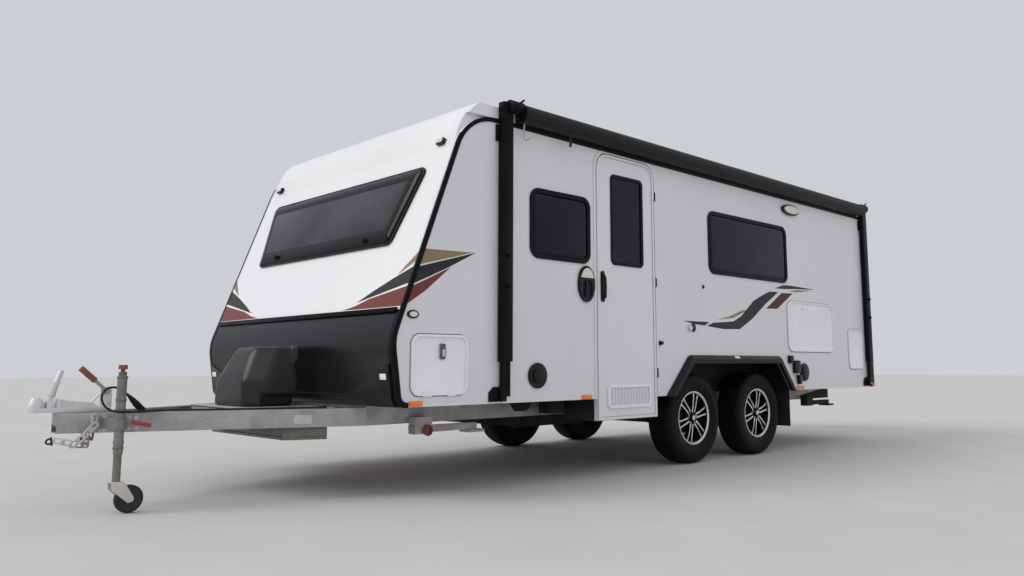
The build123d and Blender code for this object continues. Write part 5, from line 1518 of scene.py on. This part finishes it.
        self.paint.dress(web, "pocket_black")
        return [*made, web]


# Walls and their trim

SIDE_FILMS = {
    "tan_film": (
        ((214, 1491), (599, 1500), (177, 1389)),
        ((3296, 1175), (3551, 1202), (3778, 1280), (3696, 1274), (3492, 1213)),
        ((4517, 1491), (4685, 1513), (4981, 1524), (4684, 1493)),
    ),
    "charcoal_film": (
        ((173, 1377), (628, 1503), (408, 1392), (250, 1320), (122, 1264)),
        ((2810, 1151), (3182, 1153), (3114, 1121), (2962, 1129)),
        (
            (3143, 1118), (3389, 1100), (3647, 1107), (3858, 1205), (4080, 1343), (4331, 1475), (4174, 1470),
            (4062, 1435), (3887, 1368), (3779, 1293), (3673, 1221), (3550, 1171), (3238, 1149),
        ),
        ((4265, 1507), (4427, 1546), (4567, 1550), (5058, 1539), (4685, 1523), (4379, 1507)),
    ),
    "brick_film": (((115, 1249), (250, 1310), (432, 1398), (344, 1327), (236, 1238), (73, 1131)),),
    "maroon_film": (((4100, 1308), (4391, 1469), (4597, 1476), (4301, 1315)),),
}
FRONT_FILMS = {
    "tan_film": (((1224, 1474), (1224, 1414), (1174, 1387), (1075, 1334), (1122, 1385)),),
    "charcoal_film": (((1224, 1382), (1224, 1280), (1179, 1271), (721, 1185), (868, 1250), (1032, 1314)),),
    "brick_film": (((1224, 1262), (1224, 1141), (580, 1142), (711, 1163), (851, 1202)),),
}


@dataclass
class Graphics(Workshop):
    """Plain swooshes in coloured film on both side walls and the front wall, outlined in millimetres."""

    film: float = 0.0005
    sunk: float = 0.0002

    def make(self) -> None:
        """Lay every film on the door side and mirror it."""
        for wall, films, place, way in (
            ("side", SIDE_FILMS, on_side, DOOR_WAY), ("front", FRONT_FILMS, on_front, FRONT_NORMAL),
        ):
            for finish, outlines in films.items():
                plates = [
                    Bench.plate(
                        "film", [place(a / 1000, z / 1000, -self.sunk) for a, z in line],
                        way * (self.film + self.sunk),
                    )
                    for line in outlines
                ]
                self.both(Bench.join(plates, f"{wall}_{finish}"), "black", finish)


def round_corners(corners: Outline, radius: float, steps: int = 8) -> Outline:
    """Outline whose corners are rounded.

    Args:
        corners: the sharp corners in order.
        radius: corner radius.
        steps: steps in each corner.

    Returns:
        The rounded outline, in the same order.
    """
    outline = []
    for index, corner in enumerate(corners):
        here = Vector(corner)
        back = (Vector(corners[index - 1]) - here).normalized()
        ahead = (Vector(corners[(index + 1) % len(corners)]) - here).normalized()
        half = back.angle(ahead) / 2
        middle = here + (back + ahead).normalized() * radius / math.sin(half)
        first = here + back * radius / math.tan(half) - middle
        last = here + ahead * radius / math.tan(half) - middle
        for step in range(steps + 1):
            share = step / steps
            blend = (first * (1 - share) + last * share).normalized()
            outline.append(tuple(middle + blend * radius))
    return outline


def panel(sizes: tuple, radius: float, inset: float = 0.0) -> Outline:
    """Rounded rectangle in (y, z).

    Args:
        sizes: its front, rear, foot and top.
        radius: corner radius.
        inset: how far it is drawn in.

    Returns:
        The outline.
    """
    front, rear, foot, top = sizes
    low, high = foot + inset, top - inset
    corners = [(front + inset, low), (rear - inset, low), (rear - inset, high), (front + inset, high)]
    return round_corners(corners, max(radius - inset, 0.002))


def side_panel(sizes: tuple, radius: float, out: float, inset: float = 0.0) -> list[Vector]:
    """Rounded rectangle that stands out from the door side."""
    return [on_side(y, z, out) for y, z in panel(sizes, radius, inset)]


@dataclass
class Windows(Workshop):
    """Lips round the side windows and the bulged front window with its knobs."""

    side_windows: tuple = ((1.093, 1.694, 1.515, 2.000), (3.190, 4.500, 1.565, 2.110))
    radius: float = 0.080
    lip: float = 0.004
    lip_out: float = 0.0075
    lip_insets: tuple[float, float] = (0.003, 0.029)
    pane_inset: float = 0.036
    foot: tuple[float, float] = (0.882, 1.549)
    top: tuple[float, float] = (1.011, 2.056)
    corner: float = 0.045
    lean: float = 0.254
    bulge: tuple = (
        (0.012, 0.002), (0.014, 0.020), (0.022, 0.026), (0.072, 0.036), (0.080, 0.034), (0.092, 0.036),
    )
    glass_rise: tuple = ((0.010, 0.0045), (0.012, 0.001))
    knob_spot: tuple[float, float, float] = (0.600, 1.592, 0.026)
    knob: tuple = (
        (0, 0.0004), (0, 0.024), (0.008, 0.024), (0.011, 0.019), (0.022, 0.018), (0.026, 0.014),
        (0.027, 0.0004),
    )

    def make(self) -> None:
        """Build the lips and the front window."""
        for index, sizes in enumerate(self.side_windows):
            for inset in self.lip_insets:
                points = side_panel(sizes, self.radius, self.lip_out, inset)
                ring = Bench.wire(f"window_lip_{index}_{round(inset * 1000)}", points, self.lip, ring=True)
                self.both(ring, "rubber", "window_rubber")
            face = side_panel(sizes, self.radius, 0.0004, self.pane_inset)
            bulge = Bench.dome(f"window_bulge_{index}", face, DOOR_WAY, self.glass_rise)
            self.both(bulge, "glass", "tinted_acrylic")
        self._front()

    def _trapezium(self, inset: float, out: float) -> list[Vector]:
        """Outline of the front window, drawn in by inset and standing out from the wall.

        Args:
            inset: how far it is drawn in.
            out: how far it stands out.

        Returns:
            Its corners.
        """
        slant = math.hypot(1, self.lean)
        low = self.foot[0] + (self.lean - slant) * inset
        high = self.top[0] - (self.lean + slant) * inset
        foot, top = self.foot[1] + inset, self.top[1] - inset
        corners = [(-low, foot), (low, foot), (high, top), (-high, top)]
        return [on_front(x, z, out) for x, z in round_corners(corners, max(self.corner - inset, 0.015))]

    def _front(self) -> None:
        """Build the front window's rim, its bulged glass and the knobs."""
        outer, inner = self._trapezium(-0.004, 0.006), self._trapezium(0.030, 0.006)
        rim = Bench.hoop("front_window_rim", outer, inner, FRONT_NORMAL * 0.010, 0.004)
        self.keep(rim, "rubber", "window_rubber")
        glass = Bench.stack("front_window_glass", [self._trapezium(inset, out) for inset, out in self.bulge])
        # The glass's middle face gets the painted reflection of the sky; its flanks are black gloss.
        self.paint.dress(glass, "rim_gloss", "cloudy_acrylic")
        for face in glass.data.polygons:
            face.material_index = 1 if len(face.vertices) > 4 else 0
        self.keep(glass, "glass")
        across, height, out = self.knob_spot
        for name, x in (("window_knob_right", -across), ("window_knob_left", across)):
            knob = Bench.lathe(name, self.knob, on_front(x, height, out), FRONT_NORMAL, 24)
            self.keep(knob, "black", "window_rubber")


@dataclass
class Door(Workshop):
    """Entry door's grey lines of seal and painted shade, window rim, hinge knuckles and slim pull handle."""

    leaf: tuple[float, float, float, float] = (1.766, 2.446, 0.403, 2.366)
    corner: float = 0.120
    window: tuple[float, float, float, float] = (1.925, 2.305, 1.535, 2.225)
    window_corner: float = 0.045
    hinges: tuple = (0.737, 1.437, 2.120)
    hinge_y: float = 2.452
    knuckle_half: float = 0.033
    knuckle_out: float = 0.008
    handle_y: float = 1.828
    handle_half: float = 0.021
    handle_foot: float = 1.252
    handle_top: float = 1.481
    grip_radius: float = 0.0095
    grip: tuple = (
        (-0.004, 0.085, 0.006), (-0.004, 0.080, 0.030), (-0.002, 0.020, 0.034), (0.002, -0.050, 0.030),
        (0.010, -0.085, 0.020),
    )
    lock_spot: tuple[float, float] = (0.002, 0.024)
    lock: tuple = ((0.008, 0.0004), (0.008, 0.012), (0.014, 0.012), (0.016, 0.010), (0.016, 0.0004))

    def _edge(self, inset: float, out: float) -> list[Vector]:
        """Outline of the leaf, round at its top corners.

        Args:
            inset: how far it is drawn in.
            out: how far it stands out.

        Returns:
            Its corners.
        """
        front, rear, foot, top = self.leaf
        sizes = (front + inset, rear - inset, foot + inset, top - inset)
        arcs = panel(sizes, self.corner - inset)
        feet = ((sizes[0], sizes[2]), (sizes[1], sizes[2]))
        return [on_side(y, z, out) for y, z in (*feet, *arcs[len(arcs) // 4 * 2:])]

    def make(self) -> None:
        """Build the door's pieces on the leaf."""
        door = Body.DOOR.value
        # Grey line at the leaf's edge: seal and painted shade of the gap round it; grey line at the rim's
        # inner edge: painted shade.
        for label, inset, wide, out in (("edge", 0.0, 0.0035, 0.0060), ("rim", 0.0225, 0.003, 0.0002)):
            outer, inner = self._edge(inset, out), self._edge(inset + wide, out)
            line = Bench.hoop(f"door_{label}_line", outer, inner, DOOR_WAY * 0.0006)
            self.keep(line, "rubber", "seal_grey", body=door)
        outer, inner = (side_panel(self.window, self.window_corner, -0.004, inset) for inset in (0.0, 0.028))
        ring = Bench.hoop("door_window_rim", outer, inner, DOOR_WAY * 0.014, 0.004)
        self.keep(ring, "rubber", "window_rubber", body=door, replaces=("door_trim",))
        self.keep(Bench.join(self._handle(), "door_handle"), "black", "pocket_black", body=door)
        knuckles = []
        for z in self.hinges:
            ends = (on_side(self.hinge_y, z + way * self.knuckle_half, self.knuckle_out) for way in (-1, 1))
            knuckles.append(Bench.barrel("knuckle", *ends, 0.0088, 16, 0.0015))
        self.keep(Bench.join(knuckles, "door_knuckles"), "black", "powder_black", body=door)

    def _handle(self) -> list[Piece]:
        """Back plate, curved grip and lock of the pull handle.

        Returns:
            The three pieces.
        """
        y = self.handle_y
        sizes = (y - self.handle_half, y + self.handle_half, self.handle_foot, self.handle_top)
        plate = Bench.plate("handle_plate", side_panel(sizes, 0.020, 0), DOOR_WAY * 0.010, 0.004)
        middle = (self.handle_foot + self.handle_top) / 2
        course = [on_side(y + along, middle + up, out) for along, up, out in self.grip]
        grip = Bench.wire("handle_grip", course, self.grip_radius)
        spot = on_side(y + self.lock_spot[0], self.handle_foot + self.lock_spot[1], 0)
        return [plate, grip, Bench.lathe("handle_lock", self.lock, spot, DOOR_WAY, 20)]


@dataclass
class Lids(Workshop):
    """Locks on the front locker lids and grey lines of painted shade round the edges of all lids."""

    lock: tuple[float, float] = (0.369, 0.880)
    half: tuple[float, float] = (0.017, 0.046)
    proud: float = 0.012
    openings: tuple = (
        ("front_lid", (0.140, 0.562, 0.620, 0.980), 0.060),
        ("heater_lid", (4.476, 5.391, 0.919, 1.401), 0.080),
        ("rear_lid", (5.723, 6.040, 0.749, 1.167), 0.050),
    )
    edge_shade_out: float = -0.0005
    edge_shade_half: float = 0.0030
    edge_shade_thick: float = 0.0016

    def make(self) -> None:
        """Build the front lid's lock on both sides, then the lines of painted shade round the lids."""
        y, z = self.lock
        dy, dz = self.half
        case = (y - dy, y + dy, z - dz, z + dz)
        slot = (y - 0.008, y + 0.008, z - 0.030, z + 0.012)
        parts = []
        for name, finish, sizes, corner, out, thick, bevel in (
            ("front_lid_lock", "lock_grey", case, 0.008, -0.010, 0.012, 0.0025),
            ("slot", "silver_paint", slot, 0.004, 0.0015, 0.004, 0.0015),
        ):
            part = Bench.plate(name, side_panel(sizes, corner, self.proud + out), DOOR_WAY * thick, bevel)
            self.paint.dress(part, finish)
            parts.append(part)
        self.both(Bench.join(parts, "front_lid_lock"), "black", bodies=(Body.LID.value, Body.FAR_LID.value))
        # Grey lines round the lid openings: painted shade of the lids' edges.
        for label, sizes, corner in self.openings:
            outer, inner = (
                side_panel(sizes, corner, self.edge_shade_out, inset) for inset in (-self.edge_shade_half, self.edge_shade_half)
            )
            line = Bench.hoop(f"{label}_seal", outer, inner, DOOR_WAY * self.edge_shade_thick)
            place = self.both if label == "front_lid" else self.keep
            place(line, "rubber", "seal_grey")


@dataclass
class Awning(Workshop):
    """Rolled awning cloth, its rail on the wall, end caps, pull strap and hanging hook."""

    centre: tuple[float, float] = (1.290, 2.468)
    ends: tuple[float, float] = (0.960, 6.040)
    radius: float = 0.0615
    lap: float = 0.0022
    turns: int = 64
    strap_y: float = 1.410
    strap_wide: float = 0.024
    strap: tuple = (
        (0.0, -0.052), (0.003, -0.052), (0.009, -0.100), (0.004, -0.150), (0.001, -0.150), (0.006, -0.100),
    )
    cap: tuple = (
        (-0.002, 0.0004), (-0.002, 0.058), (0.004, 0.058), (0.007, 0.052), (0.007, 0.030), (0.014, 0.026),
        (0.014, 0.0004),
    )
    rail: tuple = (
        (1.231, 2.392), (1.240, 2.390), (1.247, 2.396), (1.247, 2.402), (1.243, 2.404), (1.243, 2.412),
        (1.252, 2.420), (1.248, 2.428), (1.231, 2.430),
    )
    hook: tuple = (
        (1.000, -0.012, -0.050), (1.000, -0.020, -0.110), (1.002, -0.022, -0.150), (1.010, -0.012, -0.172),
        (1.030, 0.004, -0.168), (1.038, 0.008, -0.150),
    )

    def _at(self, y: float, across: float = 0.0, up: float = 0.0) -> Vector:
        """Point near the roll's axis."""
        return from_nose(self.centre[0] + across, y, self.centre[1] + up)

    def make(self) -> None:
        """Build the roll with its strap, the end caps, the rail and the hook."""
        start, end = self.ends
        along = Vector((0, end - start, 0))
        points = []
        for step in range(self.turns):
            turn = math.tau * step / self.turns - 0.9
            reach = self.radius - self.lap * step / self.turns
            points.append(self._at(start, reach * math.cos(turn), reach * math.sin(turn)))
        roll = Bench.smooth(Bench.plate("awning_vinyl_roll", points, along), 25)
        self.paint.dress(roll, "awning_vinyl")
        edge = self.strap_y - self.strap_wide / 2
        points = [self._at(edge, 0.020 + across, up) for across, up in self.strap]
        strap = Bench.plate("strap", points, Vector((0, self.strap_wide, 0)))
        self.paint.dress(strap, "webbing")
        self.keep(Bench.join([roll, strap], "awning_vinyl_roll"), "fabric", replaces=("awning_roll",))
        caps = [
            Bench.lathe("cap", self.cap, self._at(y), Vector((0, way, 0)), 36)
            for y, way in ((start, -1), (end, 1))
        ]
        self.keep(Bench.join(caps, "awning_caps"), "black", "powder_black")
        # The rail is black: partly the rail's own colour, partly painted shade under the roll.
        rail = Bench.plate("awning_rail", [from_nose(x, start, z) for x, z in self.rail], along)
        self.keep(Bench.smooth(rail), "black", "window_rubber")
        hook = Bench.wire("hanging_hook", [self._at(*spot) for spot in self.hook], 0.0055)
        self.keep(hook, "galvanised", "bright_zinc")


# Drawbar and small plates

RAIL_TIP_Y = -1.362
RAIL_SLOPE = 0.4696
RAIL_TIP_HALF = 0.050
RAIL_WAY = Vector((1, -RAIL_SLOPE, 0)).normalized()


def rail_edge(y: float) -> float:
    """Distance from the middle to the outer face of the drawbar's rail at a station."""
    return RAIL_TIP_HALF + (y - RAIL_TIP_Y) * RAIL_SLOPE


def on_rail(y: float, z: float, out: float) -> Vector:
    """Point that stands out from the door-side rail of the drawbar."""
    return from_nose(rail_edge(y), y, z) + RAIL_WAY * out


@dataclass
class Patches(Workshop):
    """Blank labels on the shield and the arch flare, drawbar plate, door catch and drawbar bolts."""

    shield_label: tuple = (
        (1.110, 0.0155, 0.716), (1.172, 0.0155, 0.716), (1.172, 0.0108, 0.750), (1.110, 0.0108, 0.750),
    )
    flare_label: tuple = (
        (1.2506, 3.510, 0.8700), (1.2506, 3.580, 0.8700), (1.2696, 3.580, 0.8510), (1.2696, 3.510, 0.8510),
    )
    plate: tuple[float, float, float, float] = (-0.234, -0.139, 0.451, 0.503)
    rivet_inset: float = 0.006
    rivet: tuple = ((0, 0.0003), (0, 0.004), (0.0016, 0.0034), (0.0026, 0.002), (0.0028, 0.0003))
    catch_spot: tuple[float, float] = (2.8976, 1.0946)
    catch: tuple = (
        (0.0, 0.0003), (0.0, 0.024), (0.010, 0.024), (0.014, 0.020), (0.016, 0.012), (0.0165, 0.0003),
    )
    bolts: tuple = ((-1.198, -1.150, -1.040, -1.006), (0.452, 0.505))
    washer: tuple = ((0, 0.0003), (0, 0.013), (0.002, 0.013), (0.0025, 0.0115), (0.0025, 0.0003))

    def make(self) -> None:
        """Build the plates, the catch's cap and the bolts."""
        corners = [from_nose(*spot) for spot in self.shield_label]
        self.both(Bench.plate("shield_label", corners, Vector((0, -0.003, 0)), 0.0005), "white", "white_film")
        corners = [from_nose(*spot) for spot in self.flare_label]
        self.keep(Bench.plate("flare_label", corners, Vector((0.0008, 0, 0.0008))), "white", "white_film")
        corners = [on_rail(y, z, 0) for y, z in panel(self.plate, 0.004)]
        parts = [Bench.plate("drawbar_plate", corners, RAIL_WAY * 0.0012, 0.0004)]
        front, rear, foot, top = self.plate
        for y in (front + self.rivet_inset, rear - self.rivet_inset):
            for z in (foot + self.rivet_inset, top - self.rivet_inset):
                parts.append(Bench.lathe("rivet", self.rivet, on_rail(y, z, 0.001), RAIL_WAY, 12))
        self.keep(Bench.join(parts, "drawbar_plate"), "galvanised", "bright_zinc")
        catch = Bench.lathe("door_catch_cap", self.catch, on_side(*self.catch_spot, 0.004), DOOR_WAY, 28)
        self.keep(catch, "black", "silver_paint")
        bolts = []
        for y in self.bolts[0]:
            for z in self.bolts[1]:
                bolts.append(Bench.lathe("washer", self.washer, on_rail(y, z, 0), RAIL_WAY, 20))
                ends = on_rail(y, z, 0.002), on_rail(y, z, 0.010)
                bolts.append(Bench.barrel("bolt", *ends, 0.0085, 6, 0.001))
        self.keep(Bench.join(bolts, "drawbar_bolts"), "galvanised", "bright_zinc")


@dataclass
class Drawbar(Workshop):
    """Jockey tube's bands and clamp sleeve, gas tray, steady drives, chain shackle and stow hooks."""

    jockey: tuple[float, float] = (0.2754, -1.112)
    bands: tuple = (0.352, 0.560, 0.612, 0.736)
    band: tuple = (
        (-0.006, 0.0252), (-0.006, 0.0272), (-0.004, 0.0284), (0.004, 0.0284), (0.006, 0.0272),
        (0.006, 0.0252),
    )
    sleeve: tuple = ((0.0150, 0.058, 0.4895), (0.0270, 0.158, 0.4665))
    sleeve_radius: float = 0.0115
    tray: tuple = ((0.506, -0.260), (0.617, -0.030), (-0.617, -0.030), (-0.506, -0.260))
    tray_floor: float = 0.366
    tray_foot: float = 0.352
    tray_high: float = 0.076
    drive: tuple[float, float] = (0.560, 0.384)
    drive_x: float = 0.836
    drive_nut: tuple[float, float] = (0.830, 0.850)
    drive_ring: tuple = (
        (0.002, 0.022), (0.002, 0.033), (0.006, 0.037), (0.018, 0.037), (0.022, 0.033), (0.022, 0.022),
    )
    bow: tuple = (
        (0.030, -1.376, 0.402), (0.030, -1.392, 0.404), (0.034, -1.406, 0.392), (0.044, -1.406, 0.380),
        (0.048, -1.392, 0.376), (0.048, -1.376, 0.378),
    )
    bow_radius: float = 0.0052
    pin: tuple = ((0.026, -1.379, 0.410), (0.052, -1.379, 0.370))
    pin_radius: float = 0.0058
    hook_stations: tuple[float, float] = (-1.236, -1.196)
    hook: tuple = (
        (-0.012, 0, 0.436), (-0.010, 0, 0.412), (-0.006, 0.004, 0.396), (0.002, 0.012, 0.392),
        (0.006, 0.020, 0.400), (0.006, 0.022, 0.416),
    )
    hook_radius: float = 0.0060

    def make(self) -> None:
        """Build the pieces from the jockey tube backwards, then the shackle and the hooks."""
        self._tube()
        self._tray()
        self._drives()
        self._shackle()
        hooks = []
        for y in self.hook_stations:
            edge = rail_edge(y)
            course = [from_nose(edge + across, y - ahead, z) for across, ahead, z in self.hook]
            hooks.append(Bench.wire("hook", course, self.hook_radius, 4))
        self.keep(Bench.join(hooks, "stow_hooks"), "rust", "rust_grip")

    def _tube(self) -> None:
        """Build the clamp's sleeve and the bands round the jockey tube."""
        x, y = self.jockey
        ends = (from_nose(x + across, y + back, z) for across, back, z in self.sleeve)
        self.keep(Bench.barrel("clamp_sleeve", *ends, self.sleeve_radius, 20, 0.003), "red", "red_plastic")
        bands = [Bench.lathe("band", self.band, from_nose(x, y, z), UP, 32) for z in self.bands]
        self.keep(Bench.join(bands, "jockey_bands"), "galvanised", "worn_zinc")

    def _tray(self) -> None:
        """Build the open tray between the rails."""
        corners = [from_nose(a, b, self.tray_floor) for a, b in self.tray]
        floor = Bench.plate("gas_tray", corners, UP * 0.010, 0.003)
        outer = [from_nose(a, b, self.tray_foot) for a, b in self.tray]
        inner = [from_nose(a * 0.985, -0.145 + (b + 0.145) * 0.94, self.tray_foot) for a, b in self.tray]
        wall = Bench.hoop("wall", outer, inner, UP * self.tray_high, 0.002)
        self.keep(Bench.join([floor, wall], "gas_tray"), "galvanised", "worn_zinc")

    def _drives(self) -> None:
        """Build the ring and nut that wind the front steadies."""
        middle = from_nose(self.drive_x, *self.drive)
        ring = Bench.lathe("drive_ring", self.drive_ring, middle, DOOR_WAY, 8, 20)
        ends = (from_nose(x, *self.drive) for x in self.drive_nut)
        nut = Bench.barrel("drive_nut", *ends, 0.012, 6, 0.002)
        self.paint.dress(ring, "oxide_red")
        self.paint.dress(nut, "worn_zinc")
        self.both(Bench.join([ring, nut], "drive_ring"), "red")

    def _shackle(self) -> None:
        """Build the bow and pin that hold the safety chains."""
        bow = Bench.wire("bow", [from_nose(*spot) for spot in self.bow], self.bow_radius, 4)
        pin = Bench.barrel("pin", *(from_nose(*spot) for spot in self.pin), self.pin_radius, 16, 0.0012)
        self.keep(Bench.join([bow, pin], "chain_shackle"), "black", "underside_black")


# Node, slot, width of the rounding, least angle of a rounded edge, segments
EASED = (
    ("roof", "white", 0.022, 8, 4),
    ("front_lid", "white", 0.005),
    ("front_lid_right", "white", 0.005),
    ("heater_lid", "white", 0.006),
    ("rear_lid", "white", 0.005),
    ("edge_trim", "black", 0.003, 40),
    ("safety_chains", "galvanised", 0.002),
    ("front_shield", "black", 0.005, 25),
    ("wheel_arches", "black", 0.006, 25),
    ("coupling", "cast", 0.003),
    ("coupling_handle", "cast", 0.003),
    ("drawbar", "galvanised", 0.003),
    ("jockey_fork", "galvanised", 0.002),
    ("jockey_wheel", "rubber", 0.003),
    ("awning_arms", "black", 0.003),
    ("side_fittings", "black", 0.0015),
    ("lamp_lenses", "lens", 0.002),
    ("markers", "amber", 0.002),
    ("rear_lamps", "red", 0.003),
    ("roof_hatches", "white", 0.008),
    ("mud_flaps", "black", 0.002),
)


def main() -> None:
    """Build the scene in order."""
    logging.basicConfig(level=logging.INFO, format="%(message)s")
    studio = Studio()
    studio.camera()
    paint = Paintbox()
    Lead(paint).make()
    paint.dress_frame()
    studio.light()
    studio.floor()
    shop = Workshop(paint)
    for row in EASED:
        shop.eased(*row)
    shop.soft("gas_cover", "black", "cover_plastic", 0.010, 24)
    Wheel(paint).make()
    # The rear of the chassis's outer rails is painted black: painted shade under the caravan's rear.
    shop.repaint("chassis", "underside_black", (0.70, REAR_SHADE_Y, 0), (1.3, 4, 0.6))
    shop.repaint("entry_door", "lid_plastic", (SIDE_X + 0.0070, -0.575, 0.475), (1.3, -0.010, 0.665))
    # The walls' cut edges inside the wheel arches are painted black as painted shade.
    for wall in ("body_left", "body_right"):
        shop.repaint(wall, "pocket_black", (1.198, 0.240, 0.3), (SIDE_X - 0.0005, 2.070, 0.85))
    shop.two_tone("handbrake", "zinc", "rust_grip", Vector((0, -1, 0)), 3.5655)
    shop.two_tone("jockey_crank", "worn_zinc", "rust_grip", UP, 0.7665)
    for station in (Graphics, Windows, Door, Lids, Awning, Patches, Drawbar):
        station(paint).make()
    Bench.clear()


if __name__ == "__main__":
    main()
